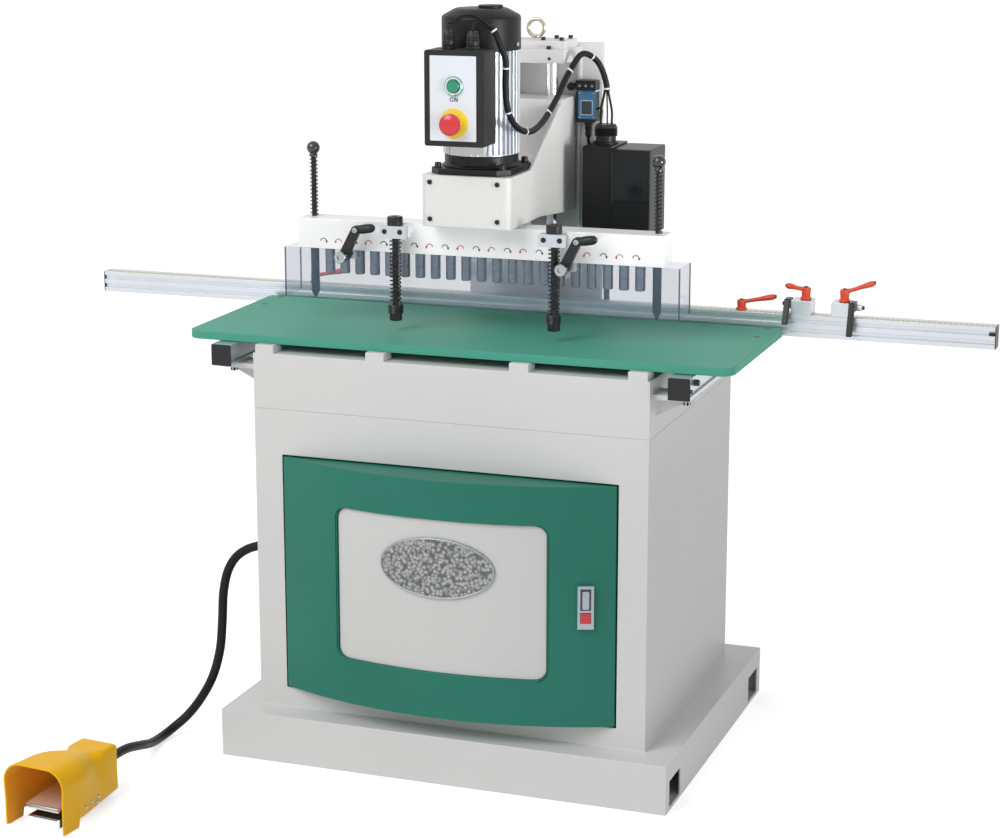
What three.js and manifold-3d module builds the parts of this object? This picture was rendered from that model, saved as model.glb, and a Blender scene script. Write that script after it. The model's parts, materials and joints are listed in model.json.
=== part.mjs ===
import * as THREE from 'three';
import Module from 'manifold-3d';
import { mergeVertices } from 'three/addons/utils/BufferGeometryUtils.js';

// Line boring machine with its foot pedal, in millimetres.
// X runs right along the fence, Y to the back and Z up.
// The origin is the middle of the base's underside, on the floor.

// Clearances
const touchGap = 0.3;
const runningGap = 0.4;
const overrun = 4;
const joinDepth = 1;

// Base and cabinet
const plinth = { width: 918, depth: 736, height: 97, sheet: 4 };
const liftSlot = { length: 76, height: 53, lift: 7, fromEnd: 24 };
const cabinet = { width: 800, depth: 602, back: 295, height: 608, sheet: 3 };
const doorway = { side: 58, lift: 40, drop: 90, edgeGap: 3 };
const doorHinge = { inward: 16, setBack: 4.5, pin: 2.5, length: 9, collar: 5 };
const hingeBoss = { width: 14, depth: 11, height: 12 };
const hoseGland = { radius: 15, length: 14, inward: 102, lift: 299 };

// Door: a bowed front sheet with a framed inset
const door = { bow: 73, sheet: 3, flange: 16, setBack: 2 };
const inset = { left: 131, right: 121, lift: 92, drop: 77, corner: 22, depth: 6 };
const badge = { width: 231, height: 118, drop: 95, proud: 4, seat: 1, segments: 10 };
const latch = { width: 30, height: 84, depth: 24, proud: 6, inward: 52, lift: 198 };
const latchButton = { width: 19, height: 19, lift: 12, depth: 10, proud: 2, hollow: 16 };

// Top frame, its lugs, table and rails
const topFrame = { height: 110, sheet: 4, plate: 8 };
const lug = { height: 16, width: 38, depth: 40, near: 145, far: 376 };
const table = { width: 1098, depth: 397, back: 104, thickness: 16, frontCorner: 28, backCorner: 6 };
const rail = { size: 42, middle: 459, drop: 1, front: -325, length: 545 };
const railSlot = { width: 8, depth: 4, lift: 8 };
const railBolt = { radius: 7, height: 9, fromFront: 20 };
const arm = { width: 60, thickness: 10, gusset: 42, gussetSheet: 8, fromFront: 17, fromBack: 105 };

// Column
const column = { width: 284, thickness: 15, front: 215, height: 567 };
const shelf = { width: 198, reach: 115, thickness: 27, drop: 6 };
const cap = { width: 192, depth: 78, height: 16, inward: 15 };
const foot = { lift: 68, thickness: 30 };
const guide = { radius: 11.5, spread: 48, inward: 35 };
const rib = { width: 6, depth: 10 };
const cylinder = { radius: 31.5, height: 53, inward: 55 };
const eye = { radius: 17, wire: 3.5, out: 12, lift: 20 };
const limitSwitch = { width: 41, depth: 25, height: 83, left: 95, lift: 378 };
const roller = { radius: 8, width: 8, out: 13, drop: 13, arm: 8 };
const boxTab = { reach: 80, thickness: 5, margin: 10 };

// Electrical box and its feed cable
const electric = { width: 139, depth: 109, height: 176, left: 136, lift: 165 };
const electricGland = { radius: 8, length: 40, spacing: 20, firstOut: 22, inward: 55 };
const feedCable = { radius: 6, sides: 8, steps: 16 };

// Head
const spindleLine = -106;
const bar = { width: 749, depth: 58, height: 59.75, lift: 149.5, back: 26 };
const head = { width: 180, front: 92, height: 98.5, seat: 5.75, taper: 130, padMargin: 10 };
const slide = { depth: 90, height: 232, drop: 11.25 };
const gusset = { sheet: 8, reach: 173, low: 12 };
const piston = { radius: 10, length: 55 };

// Motor
const flange = { size: 162, chamfer: 23, thickness: 12 };
const motorNeck = { radius: 70, height: 23 };
const motorBody = { radius: 74, height: 200, core: 60 };
const fanCover = { radius: 75, height: 64.5, taper: 14.5, topRadius: 50, overlap: 4 };
const boxMount = { width: 60, height: 130, fromTop: 15 };

// Control box and its buttons
const controls = { width: 119, depth: 65, height: 178.5, lift: 63, back: 84 };
const onButton = { radius: 11, length: 13, proud: 6, lift: 112.5, bezel: 18, bezelDepth: 3, travel: 3.5 };
const stopButton = { radius: 20.5, cap: 18, stem: 12, proud: 35, lift: 43.5, disc: 28.5, discDepth: 2 };
const stopCollar = { radius: 15, depth: 9, hollow: 16 };
const controlGland = { radius: 12, length: 34, left: -23, right: 25.5, inward: 33 };

// Chucks
const chuck = { count: 21, pitch: 32, radius: 10, length: 52, chamfer: 2, sides: 12 };
const spindle = { radius: 6, length: 24 };

// Clear guard and the cranked levers that hold it
const guard = { width: 812, depth: 77, height: 99, sheet: 3, front: 31 };
const stud = { radius: 4, drop: 6.5 };
const guardLug = { width: 20, depth: 14, height: 18 };
const lever = { hub: 12, hubLength: 14, armWidth: 17, armDepth: 16, forward: 87, left: -263, right: 188 };
const leverReach = { across: 27, up: 53, gripAcross: 66, gripUp: 59, grip: 9 };

// Index pins
const indexPin = { out: 353, radius: 8.5, rod: 5, drop: 91.5, point: 14, tip: 1.5, shoulder: 10.5 };
const knob = { radius: 13.5, height: 29, collar: 8.5, collarHeight: 4, lift: 118 };

// Hold-downs
const holdDown = { left: -157, right: 167, forward: 59, rod: 6, footDrop: 128.5 };
const clampBlock = { width: 54, depth: 26, height: 24, drop: 1.25, stub: 12, stubOut: 14 };
const nut = { radius: 15.5, height: 17.5, sides: 12 };
const shoe = { radius: 12.5, height: 14, collar: 15.5, collarHeight: 18 };

// Springs: outer radius, wire radius and curls
const indexSpring = { radius: 8.5, wire: 1.1, curls: 15 };
const holdSpring = { radius: 11.5, wire: 1.5, curls: 16 };
const springSteps = 8;
const springSides = 5;

// Fence, its carriages and clamp levers
const fence = { length: 1906, shift: 3, depth: 36, height: 43.5, gap: 9 };
const fenceGroove = { depth: 5, width: 8, low: 9, high: 27 };
const carriage = { cheek: 8, drop: 14 };
const ratchet = { hub: 9.5, base: 11, baseHeight: 4, armWidth: 15, armHeight: 8, tipHeight: 11 };
const fenceLever = { reach: 72, rise: 14, height: 20 };

// Fence stops
const stopBlock = { height: 28, lip: 6, lipDrop: 28 };
const stopLever = { height: 24 };
const innerStop = { left: 561, width: 40, hub: 587, reach: -43, rise: 5, drop: 45, nut: 4, nutLength: 3 };
const outerStop = {
  left: 641, width: 34, hub: 663, reach: 62, rise: 20, drop: 61, nut: 6.5, nutLength: 10,
};
const finger = { thickness: 12, width: 14, reach: 36, rise: 6, pivotDrop: 10, pin: 3, tail: 4 };

// Foot pedal, with its own frame: the middle of its back on the floor, its mouth to the front
const pedal = { x: -593, y: -629.3, turn: -6.15, wall: 3.5, hoseEntry: 57 };
const pedalBase = {
  halfWidth: 34, length: 186, height: 17, footLength: 82, spineHalf: 17, bridgeFront: 48, bridgeBack: 8,
};
const treadle = { halfWidth: 36.5, back: 62, front: 188, thickness: 6, frontTop: 41, backTop: 50, lip: 9 };
const treadlePin = { radius: 3, barrel: 6, ear: 5, gap: 1.5 };

// Stations of the pedal's hood, from its back to its mouth
const hoodBack = { out: 0, half: 41, height: 105, round: 9, low: 16 };
const hoodNeck = { out: 48, half: 41, height: 108, round: 10, low: 16 };
const hoodSwell = { out: 90, half: 54, height: 116, round: 24, low: 16 };
const hoodShoulder = { out: 135, half: 64, height: 122, round: 34, low: 16 };
const hoodStep = { out: 160, half: 66, height: 124, round: 36, low: 18 };
const hoodLeg = { out: 164, half: 66, height: 124, round: 36, low: 2 };
const hoodMouth = { out: 212, half: 67.5, height: 127, round: 38, low: 2 };
const hoodStations = [hoodBack, hoodNeck, hoodSwell, hoodShoulder, hoodStep, hoodLeg, hoodMouth];

// Cords, with their routes as places chosen by hand.
// The hose's heights are above the floor, the harness's and the feed's above the table.
const hose = { radius: 9.25, sides: 10, steps: 44 };
const hoseRoute = [
  [-448, -205, 391], [-471, -206, 382], [-495, -209, 364], [-512, -213, 335], [-519, -222, 293],
  [-516, -238, 234], [-516, -252, 178], [-529, -262, 122], [-553, -272, 74], [-577, -286, 40],
  [-600, -308, 17], [-608, -345, 9.8], [-603, -400, 17], [-594, -460, 35], [-592, -525, 51],
];
const harness = { radius: 6.5, sides: 8, steps: 34 };
const harnessRoute = [
  [-14, -221, 604], [1, -219, 614], [16, -217, 616.5], [33, -215, 612], [49, -213, 601],
  [63, -210, 589], [75, -207, 560], [83, -203, 534], [80, -196, 487], [83, -190, 441],
  [90, -170, 411], [99, -120, 393],
  [104, -60, 401], [108, 20, 439], [114, 84, 487], [131, 120, 521], [153, 148, 503],
  [168, 160, 456], [168, 160, 420],
];
const feedRoute = [[152, 206, 150], [149, 222, 113], [150, 227, 68], [152, 227, 13]];

// Facets of round pieces
const bowSteps = 12;
const hoodCornerSteps = 4;
const roundSides = 24;
const smallSides = 12;

// Levels and lines worked out from the sizes above
const cabinetTop = plinth.height + cabinet.height;
const frameTop = cabinetTop + topFrame.height;
const tableTop = frameTop + lug.height + table.thickness;
const tableUnder = tableTop - table.thickness;
const cabinetFront = cabinet.back - cabinet.depth;
const doorwayLow = plinth.height + doorway.lift;
const doorwayTop = cabinetTop - doorway.drop;
const doorwayHalf = cabinet.width / 2 - doorway.side;
const hingeX = -doorwayHalf + doorHinge.inward;
const hingeY = cabinetFront + doorHinge.setBack;
const doorHalf = doorwayHalf - doorway.edgeGap;
const doorLow = doorwayLow + doorway.edgeGap;
const doorTop = doorwayTop - doorway.edgeGap;
const insetLow = doorLow + inset.lift;
const insetTop = doorTop - inset.drop;
const insetLeft = -doorHalf + inset.left;
const insetRight = doorHalf - inset.right;
const doorEdgeY = cabinetFront - door.setBack;
const bowRadius = (doorHalf ** 2 + door.bow ** 2) / (2 * door.bow);
const bowCentreY = doorEdgeY - door.bow + bowRadius;
const railTop = tableUnder - rail.drop;
const railOuter = rail.middle + rail.size / 2;
const columnTop = frameTop + column.height;
const shelfTop = columnTop - shelf.drop;
const shelfUnder = shelfTop - shelf.thickness;
const shelfFront = column.front - shelf.reach;
const footTop = tableTop + foot.lift + foot.thickness;
const guideY = column.front - guide.inward;
const barUnder = tableTop + bar.lift;
const barTop = barUnder + bar.height;
const barBack = spindleLine + bar.back;
const barFront = barBack - bar.depth;
const headUnder = barTop + head.seat;
const headTop = headUnder + head.height;
const headFront = spindleLine - head.front;
const slideBack = column.front - rib.depth;
const slideUnder = barTop - slide.drop;
const slideFront = slideBack - slide.depth;
const flangeTop = headTop + flange.thickness;
const bodyLow = flangeTop + motorNeck.height;
const bodyTop = bodyLow + motorBody.height;
const fanTop = bodyTop - fanCover.overlap + fanCover.height;
const controlsLow = headTop + controls.lift;
const controlsBack = spindleLine - controls.back;
const controlsFront = controlsBack - controls.depth;
const controlsTop = controlsLow + controls.height;
const guardFront = spindleLine - guard.front;
const guardTop = barUnder - touchGap;
const studZ = barUnder - stud.drop;
const holdY = spindleLine - holdDown.forward;
const blockTop = barTop - clampBlock.drop;
const blockUnder = blockTop - clampBlock.height;
const footLow = barUnder - holdDown.footDrop;
const shoeTop = footLow + shoe.height + shoe.collarHeight;
const fenceFront = table.back + fence.gap;
const fenceLow = railTop + touchGap;
const fenceTop = fenceLow + fence.height;
const fenceY = fenceFront + fence.depth / 2;
const stopTop = fenceTop + touchGap + stopBlock.height;
const cylinderY = column.front - cylinder.inward;
const cylinderTop = footTop + cylinder.height;

// Shapes as plain geometries, so that their shared vertices can be merged
function closed(geometry) {
  const bare = geometry.clone();
  bare.deleteAttribute('normal');
  bare.deleteAttribute('uv');
  const merged = mergeVertices(bare);
  const corners = merged.index.array;
  const kept = [];
  for (let i = 0; i < corners.length; i += 3) {
    const [a, b, c] = corners.slice(i, i + 3);
    if (a !== b && b !== c && c !== a) kept.push(a, b, c);
  }
  merged.setIndex(kept);
  return merged;
}

function block([x0, x1], [y0, y1], [z0, z1]) {
  const geometry = closed(new THREE.BoxGeometry(x1 - x0, y1 - y0, z1 - z0));
  return geometry.translate((x0 + x1) / 2, (y0 + y1) / 2, (z0 + z1) / 2);
}

function rodZ(radius, x, y, [z0, z1], sides = smallSides) {
  const geometry = closed(new THREE.CylinderGeometry(radius, radius, z1 - z0, sides));
  return geometry.rotateX(Math.PI / 2).translate(x, y, (z0 + z1) / 2);
}

function rodY(radius, x, [y0, y1], z, sides = smallSides) {
  const geometry = closed(new THREE.CylinderGeometry(radius, radius, y1 - y0, sides));
  return geometry.translate(x, (y0 + y1) / 2, z);
}

function rodX(radius, [x0, x1], y, z, sides = smallSides) {
  const geometry = closed(new THREE.CylinderGeometry(radius, radius, x1 - x0, sides));
  return geometry.rotateZ(Math.PI / 2).translate((x0 + x1) / 2, y, z);
}

// A profile of [radius, height] pairs, from the axis to the axis, turned round Z
function turned(profile, x, y, sides = smallSides) {
  const points = profile.map(([r, z]) => new THREE.Vector2(r, z));
  return closed(new THREE.LatheGeometry(points, sides)).rotateX(Math.PI / 2).translate(x, y, 0);
}

function outline(points) {
  return new THREE.Shape(points.map(([u, v]) => new THREE.Vector2(u, v)));
}

const bases = {
  xy: [new THREE.Vector3(1, 0, 0), new THREE.Vector3(0, 1, 0), new THREE.Vector3(0, 0, 1)],
  xz: [new THREE.Vector3(1, 0, 0), new THREE.Vector3(0, 0, 1), new THREE.Vector3(0, -1, 0)],
  yz: [new THREE.Vector3(0, 1, 0), new THREE.Vector3(0, 0, 1), new THREE.Vector3(1, 0, 0)],
};

// A flat shape in the named plane, given a thickness from one place to another on the third axis
function prism(shape, plane, [low, high], curveSegments = 3) {
  const options = { depth: high - low, bevelEnabled: false, curveSegments };
  const geometry = closed(new THREE.ExtrudeGeometry(shape, options));
  geometry.applyMatrix4(new THREE.Matrix4().makeBasis(...bases[plane]));
  if (plane === 'xy') return geometry.translate(0, 0, low);
  if (plane === 'xz') return geometry.translate(0, high, 0);
  return geometry.translate(low, 0, 0);
}

function roundedRectangle([u0, u1], [v0, v1], radius) {
  const shape = new THREE.Shape();
  shape.moveTo(u0 + radius, v0);
  shape.lineTo(u1 - radius, v0);
  shape.absarc(u1 - radius, v0 + radius, radius, -Math.PI / 2, 0);
  shape.lineTo(u1, v1 - radius);
  shape.absarc(u1 - radius, v1 - radius, radius, 0, Math.PI / 2);
  shape.lineTo(u0 + radius, v1);
  shape.absarc(u0 + radius, v1 - radius, radius, Math.PI / 2, Math.PI);
  shape.lineTo(u0, v0 + radius);
  shape.absarc(u0 + radius, v0 + radius, radius, Math.PI, Math.PI * 1.5);
  return shape;
}

// Joining and cutting
const wasm = await Module();
wasm.setup();

function solid(geometry) {
  const vertProperties = Float32Array.from(geometry.attributes.position.array);
  const triVerts = Uint32Array.from(geometry.index.array);
  return new wasm.Manifold(new wasm.Mesh({ numProp: 3, vertProperties, triVerts }));
}

function plain(body) {
  const { vertProperties, triVerts } = body.getMesh();
  const geometry = new THREE.BufferGeometry();
  geometry.setAttribute('position', new THREE.BufferAttribute(vertProperties, 3));
  geometry.setIndex(new THREE.BufferAttribute(triVerts, 1));
  return geometry;
}

function join(...geometries) {
  return plain(geometries.map(solid).reduce((sum, next) => sum.add(next)));
}

function cut(geometry, ...tools) {
  return plain(tools.map(solid).reduce((left, tool) => left.subtract(tool), solid(geometry)));
}

function common(a, b) {
  return plain(solid(a).intersect(solid(b)));
}

// A skin through stations of equal numbers of [u, v, w] points, closed by flat ends
function skinned(stations) {
  const count = stations[0].length;
  const index = sideFaces(stations.length, count);
  const flat = stations[0].map(([u, , w]) => new THREE.Vector2(u, w));
  const last = (stations.length - 1) * count;
  for (const [a, b, c] of THREE.ShapeUtils.triangulateShape(flat, [])) {
    index.push(a, c, b, last + a, last + b, last + c);
  }
  return withFaces(stations, index);
}

function sideFaces(stationCount, count) {
  const index = [];
  for (let s = 0; s + 1 < stationCount; s += 1) {
    for (let i = 0; i < count; i += 1) {
      const a = s * count + i;
      const b = s * count + ((i + 1) % count);
      index.push(a, b, b + count, a, b + count, a + count);
    }
  }
  return index;
}

function withFaces(stations, index) {
  const geometry = new THREE.BufferGeometry();
  geometry.setAttribute('position', new THREE.Float32BufferAttribute(stations.flat(2), 3));
  geometry.setIndex(index);
  return facingOut(geometry);
}

function facingOut(geometry) {
  const place = geometry.attributes.position;
  const corners = geometry.index.array;
  const [a, b, c] = [new THREE.Vector3(), new THREE.Vector3(), new THREE.Vector3()];
  let volume = 0;
  for (let i = 0; i < corners.length; i += 3) {
    a.fromBufferAttribute(place, corners[i]);
    b.fromBufferAttribute(place, corners[i + 1]);
    c.fromBufferAttribute(place, corners[i + 2]);
    volume += a.dot(b.cross(c));
  }
  if (volume < 0) geometry.setIndex(Array.from(corners).reverse());
  return geometry;
}

// A round tube along a smooth curve through the points
function tube(points, radius, sides, steps) {
  const path = new THREE.CatmullRomCurve3(points.map(([x, y, z]) => new THREE.Vector3(x, y, z)));
  const ring = new THREE.Shape();
  ring.absarc(0, 0, radius, 0, Math.PI * 2);
  const options = { steps, extrudePath: path, curveSegments: sides / 2, bevelEnabled: false };
  return facingOut(closed(new THREE.ExtrudeGeometry(ring, options)));
}

// A route between two faces, leaving each one square to it for one tube diameter
function routed(start, startWay, route, end, endWay, radius) {
  const out = (place, way) => place.map((value, k) => value + 2 * radius * way[k]);
  return [start, out(start, startWay), ...route, out(end, endWay), end];
}

function aboveTable(route) {
  return route.map(([x, y, z]) => [x, y, tableTop + z]);
}

// A coil spring round Z, one unbroken wire whose ends run straight onto their seats
function spring(name, { radius, wire, curls }, x, y, [seatLow, seatHigh]) {
  const run = 2 * wire;
  const mean = radius - wire;
  const low = seatLow + touchGap;
  const high = seatHigh - touchGap;
  const climb = high - low - 2 * run;
  const centres = [[mean, 0, low]];
  for (let i = 0; i <= curls * springSteps; i += 1) {
    const angle = (i / springSteps) * Math.PI * 2;
    const z = low + run + (climb * i) / (curls * springSteps);
    centres.push([mean * Math.cos(angle), mean * Math.sin(angle), z]);
  }
  centres.push([mean, 0, high]);
  printLeastGap(name, centres, wire);
  return wireThrough(centres, wire).translate(x, y, 0);
}

function wireThrough(centres, wire) {
  const points = centres.map(([x, y, z]) => new THREE.Vector3(x, y, z));
  const stations = points.map((point, i) => {
    const before = points[Math.max(i - 1, 0)];
    const after = points[Math.min(i + 1, points.length - 1)];
    const along = after.clone().sub(before).normalize();
    const outward = new THREE.Vector3(point.x, point.y, 0).normalize();
    const across = outward.clone().cross(along).normalize();
    const side = along.clone().cross(across);
    return Array.from({ length: springSides }, (_, k) => {
      const turn = (k / springSides) * Math.PI * 2;
      const at = point.clone().addScaledVector(side, wire * Math.cos(turn));
      return at.addScaledVector(across, wire * Math.sin(turn)).toArray();
    });
  });
  return skinnedRound(stations);
}

// The same skin for a wire, whose ends are fans
function skinnedRound(stations) {
  const count = stations[0].length;
  const index = sideFaces(stations.length, count);
  const last = (stations.length - 1) * count;
  for (let i = 1; i + 1 < count; i += 1) {
    index.push(0, i + 1, i, last, last + i, last + i + 1);
  }
  return withFaces(stations, index);
}

// Least gap between stretches of wire that are at least half a curl apart
function printLeastGap(name, centres, wire) {
  const apart = springSteps / 2;
  let least = Infinity;
  for (let i = 0; i < centres.length; i += 1) {
    for (let j = i + apart; j < centres.length; j += 1) {
      const between = Math.hypot(...centres[i].map((value, k) => value - centres[j][k]));
      least = Math.min(least, between - 2 * wire);
    }
  }
  console.log(`${name}: least gap to itself ${least.toFixed(2)} mm`);
}

// Materials
function material(colour, roughness, metalness = 0, opacity = 1) {
  const options = { color: colour, roughness, metalness, opacity, transparent: opacity < 1 };
  return new THREE.MeshStandardMaterial(options);
}

const paint = material(0xd2d2d0, 0.5);
const tableGreen = material(0x5fa58d, 0.45);
const doorGreen = material(0x37806b, 0.45);
const aluminium = material(0xc9ccce, 0.4, 0.8);
const steel = material(0x9a9c9e, 0.35, 0.9);
const blackPlastic = material(0x1c1c1e, 0.45);
const blackSteel = material(0x232326, 0.4, 0.5);
const yellow = material(0xebb423, 0.45);
const red = material(0xd04a2c, 0.4);
const green = material(0x1f8a6a, 0.4);
const clear = material(0xb4c0d0, 0.1, 0, 0.35);

const machine = new THREE.Group();
machine.name = 'line_boring_machine';

function add(name, geometry, finish, parent = machine) {
  geometry.computeVertexNormals();
  const mesh = new THREE.Mesh(geometry, finish);
  mesh.name = name;
  parent.add(mesh);
}

// Base and cabinet, one weldment
function makePlinth() {
  const { width, depth, height, sheet } = plinth;
  const outer = block([-width / 2, width / 2], [-depth / 2, depth / 2], [0, height]);
  const inner = block(
    [-width / 2 + sheet, width / 2 - sheet],
    [-depth / 2 + sheet, depth / 2 - sheet],
    [sheet, height - sheet],
  );
  const slots = [-1, 1].map((end) => {
    const near = end * (depth / 2 - liftSlot.fromEnd);
    const far = near - end * liftSlot.length;
    return block(
      [-width / 2 - overrun, width / 2 + overrun],
      [Math.min(near, far), Math.max(near, far)],
      [liftSlot.lift, liftSlot.lift + liftSlot.height],
    );
  });
  return cut(outer, inner, ...slots);
}

function makeCabinet() {
  const { width, back, sheet } = cabinet;
  const low = plinth.height - plinth.sheet / 2;
  const shell = cut(
    block([-width / 2, width / 2], [cabinetFront, back], [low, cabinetTop]),
    block(
      [-width / 2 + sheet, width / 2 - sheet],
      [cabinetFront + sheet, back - sheet],
      [low - overrun, cabinetTop + overrun],
    ),
    block(
      [-doorwayHalf, doorwayHalf],
      [cabinetFront - overrun, cabinetFront + sheet + overrun],
      [doorwayLow, doorwayTop],
    ),
  );
  const gland = rodX(
    hoseGland.radius,
    [-width / 2 - hoseGland.length, -width / 2 + sheet / 2],
    cabinetFront + hoseGland.inward,
    plinth.height + hoseGland.lift,
  );
  const bosses = [];
  const bores = [];
  for (const [edge, way] of [[doorwayLow, -1], [doorwayTop, 1]]) {
    const heights = [edge, edge + way * hingeBoss.height].sort((a, b) => a - b);
    const reach = [edge - way * overrun, edge + way * (hingeBoss.height + overrun)].sort((a, b) => a - b);
    bosses.push(block(
      [hingeX - hingeBoss.width / 2, hingeX + hingeBoss.width / 2],
      [cabinetFront, cabinetFront + hingeBoss.depth],
      heights,
    ));
    bores.push(rodZ(doorHinge.pin + runningGap, hingeX, hingeY, reach));
  }
  return cut(join(makePlinth(), shell, gland, ...bosses), ...bores);
}

// A strip of the bowed front, between two depths behind its outer face
function bowStrip(near, far, half, [z0, z1]) {
  const reach = (depth) => {
    const radius = bowRadius - depth;
    const limit = Math.asin(half / radius);
    return Array.from({ length: bowSteps + 1 }, (_, i) => {
      const angle = limit * ((2 * i) / bowSteps - 1);
      return [radius * Math.sin(angle), bowCentreY - radius * Math.cos(angle)];
    });
  };
  return prism(outline([...reach(near), ...reach(far).reverse()]), 'xy', [z0, z1]);
}

function makeDoor() {
  const { sheet, flange: deep } = door;
  const top = doorTop;
  const back = doorEdgeY + deep;
  const innerHalf = doorHalf - sheet;
  const frameOf = (margin) => prism(
    roundedRectangle(
      [insetLeft - margin, insetRight + margin],
      [insetLow - margin, insetTop + margin],
      inset.corner + margin,
    ),
    'xz',
    [doorEdgeY - door.bow - overrun, doorEdgeY],
  );
  const face = bowStrip(0, sheet, doorHalf, [doorLow, top]);
  const pan = common(
    bowStrip(0, inset.depth + sheet, innerHalf, [doorLow, top]),
    frameOf(sheet),
  );
  const hollow = common(
    bowStrip(-overrun, inset.depth, innerHalf, [doorLow, top]),
    frameOf(0),
  );
  const lens = (z0) => lensPlate([z0, z0 + sheet], back);
  const sides = [-1, 1].map((side) => {
    const edges = [side * doorHalf, side * innerHalf].sort((a, b) => a - b);
    return block(edges, [doorEdgeY + touchGap, back], [doorLow, top]);
  });
  const oval = new THREE.Shape();
  const badgeX = (insetLeft + insetRight) / 2;
  oval.absellipse(badgeX, insetTop - badge.drop, badge.width / 2, badge.height / 2, 0, Math.PI * 2);
  const badgeFront = inset.depth - badge.proud;
  const badgeBlank = prism(oval, 'xz', [doorEdgeY - door.bow - overrun, doorEdgeY], badge.segments);
  const badgeBack = inset.depth + badge.seat;
  const badgePlate = common(bowStrip(badgeFront, badgeBack, innerHalf, [doorLow, top]), badgeBlank);
  const shell = cut(join(face, pan, lens(doorLow), lens(top - sheet), ...sides), hollow);
  const pins = [
    rodZ(doorHinge.pin, hingeX, hingeY, [doorwayLow - doorHinge.length, doorLow + joinDepth]),
    rodZ(doorHinge.collar, hingeX, hingeY, [doorwayLow + touchGap, doorLow + joinDepth]),
    rodZ(doorHinge.pin, hingeX, hingeY, [top - joinDepth, doorwayTop + doorHinge.length]),
  ];
  return cut(join(shell, badgePlate, latchHousing(), ...pins), latchPocket());
}

// The filled plan of the door, from the bow to its back edge
function lensPlate([z0, z1], back) {
  const limit = Math.asin(doorHalf / bowRadius);
  const arc = Array.from({ length: bowSteps + 1 }, (_, i) => {
    const angle = limit * ((2 * i) / bowSteps - 1);
    return [bowRadius * Math.sin(angle), bowCentreY - bowRadius * Math.cos(angle)];
  });
  return prism(outline([...arc, [doorHalf, back], [-doorHalf, back]]), 'xy', [z0, z1]);
}

// The latch is square to the bow where it sits
const latchX = doorHalf - latch.inward;
const latchTurn = Math.asin(latchX / bowRadius);
const latchY = bowCentreY - bowRadius * Math.cos(latchTurn);
const buttonLow = doorLow + latch.lift + latchButton.lift;

function latchHousing() {
  const low = doorLow + latch.lift;
  const half = latch.width / 2;
  const body = block([-half, half], [-latch.proud, latch.depth - latch.proud], [low, low + latch.height]);
  return body.rotateZ(latchTurn).translate(latchX, latchY, 0);
}

function latchPocket() {
  const half = latchButton.width / 2 + runningGap;
  const body = block(
    [-half, half],
    [-latch.proud - overrun, latchButton.hollow - latch.proud],
    [buttonLow - runningGap, buttonLow + latchButton.height + runningGap],
  );
  return body.rotateZ(latchTurn).translate(latchX, latchY, 0);
}

function makeLatchButton() {
  const half = latchButton.width / 2;
  const front = -latch.proud - latchButton.proud;
  const body = block(
    [-half, half],
    [front, front + latchButton.depth],
    [buttonLow, buttonLow + latchButton.height],
  );
  return body.rotateZ(latchTurn).translate(latchX, latchY, 0);
}

// Top frame with its table lugs and the arms that carry the rails
function makeTopFrame() {
  const { width, back } = cabinet;
  const { sheet, plate } = topFrame;
  const tray = cut(
    block([-width / 2, width / 2], [cabinetFront, back], [cabinetTop, frameTop]),
    block(
      [-width / 2 + sheet, width / 2 - sheet],
      [cabinetFront + sheet, back - sheet],
      [cabinetTop - overrun, frameTop - plate],
    ),
  );
  const lugs = [];
  for (const x of [-lug.far, -lug.near, lug.near, lug.far]) {
    for (const y of [cabinetFront, table.back - lug.depth]) {
      const across = [x - lug.width / 2, x + lug.width / 2];
      lugs.push(block(across, [y, y + lug.depth], [frameTop - plate / 2, tableUnder]));
    }
  }
  const arms = [];
  for (const side of [-1, 1]) {
    for (const y of [cabinetFront + arm.fromFront, back - arm.fromBack - arm.width]) {
      arms.push(makeArm(side, y));
    }
  }
  return join(tray, ...lugs, ...arms);
}

function makeArm(side, y) {
  const root = cabinet.width / 2 - topFrame.sheet / 2;
  const top = railTop - rail.size;
  const reach = [side * root, side * railOuter].sort((a, b) => a - b);
  const plate = block(reach, [y, y + arm.width], [top - arm.thickness, top]);
  const middle = y + arm.width / 2;
  const under = top - arm.thickness / 2;
  const web = outline([
    [side * root, under],
    [side * railOuter, under],
    [side * root, under - arm.gusset],
  ]);
  const half = arm.gussetSheet / 2;
  const head = rodZ(
    railBolt.radius,
    side * rail.middle,
    y + railBolt.fromFront,
    [top - arm.thickness - railBolt.height, under],
  );
  return join(plate, facingOut(prism(web, 'xz', [middle - half, middle + half])), head);
}

function makeTable() {
  const { width, depth, back, frontCorner, backCorner } = table;
  const front = back - depth;
  const half = width / 2;
  const shape = new THREE.Shape();
  shape.moveTo(-half + frontCorner, front);
  shape.lineTo(half - frontCorner, front);
  shape.absarc(half - frontCorner, front + frontCorner, frontCorner, -Math.PI / 2, 0);
  shape.lineTo(half, back - backCorner);
  shape.absarc(half - backCorner, back - backCorner, backCorner, 0, Math.PI / 2);
  shape.lineTo(-half + backCorner, back);
  shape.absarc(-half + backCorner, back - backCorner, backCorner, Math.PI / 2, Math.PI);
  shape.lineTo(-half, front + frontCorner);
  shape.absarc(-half + frontCorner, front + frontCorner, frontCorner, Math.PI, Math.PI * 1.5);
  return prism(shape, 'xy', [tableUnder, tableTop]);
}

function makeRail(side) {
  const middle = side * rail.middle;
  const half = rail.size / 2;
  const along = [rail.front, rail.front + rail.length];
  const under = railTop - rail.size;
  const beam = block([middle - half, middle + half], along, [under, railTop]);
  const slotLow = under + railSlot.lift;
  const slots = [-1, 1].map((edge) => {
    const face = middle + edge * half;
    const span = [face - edge * railSlot.depth, face + edge * overrun].sort((a, b) => a - b);
    return block(span, [along[0] - overrun, along[1] + overrun], [slotLow, slotLow + railSlot.width]);
  });
  return cut(beam, ...slots);
}

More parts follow.
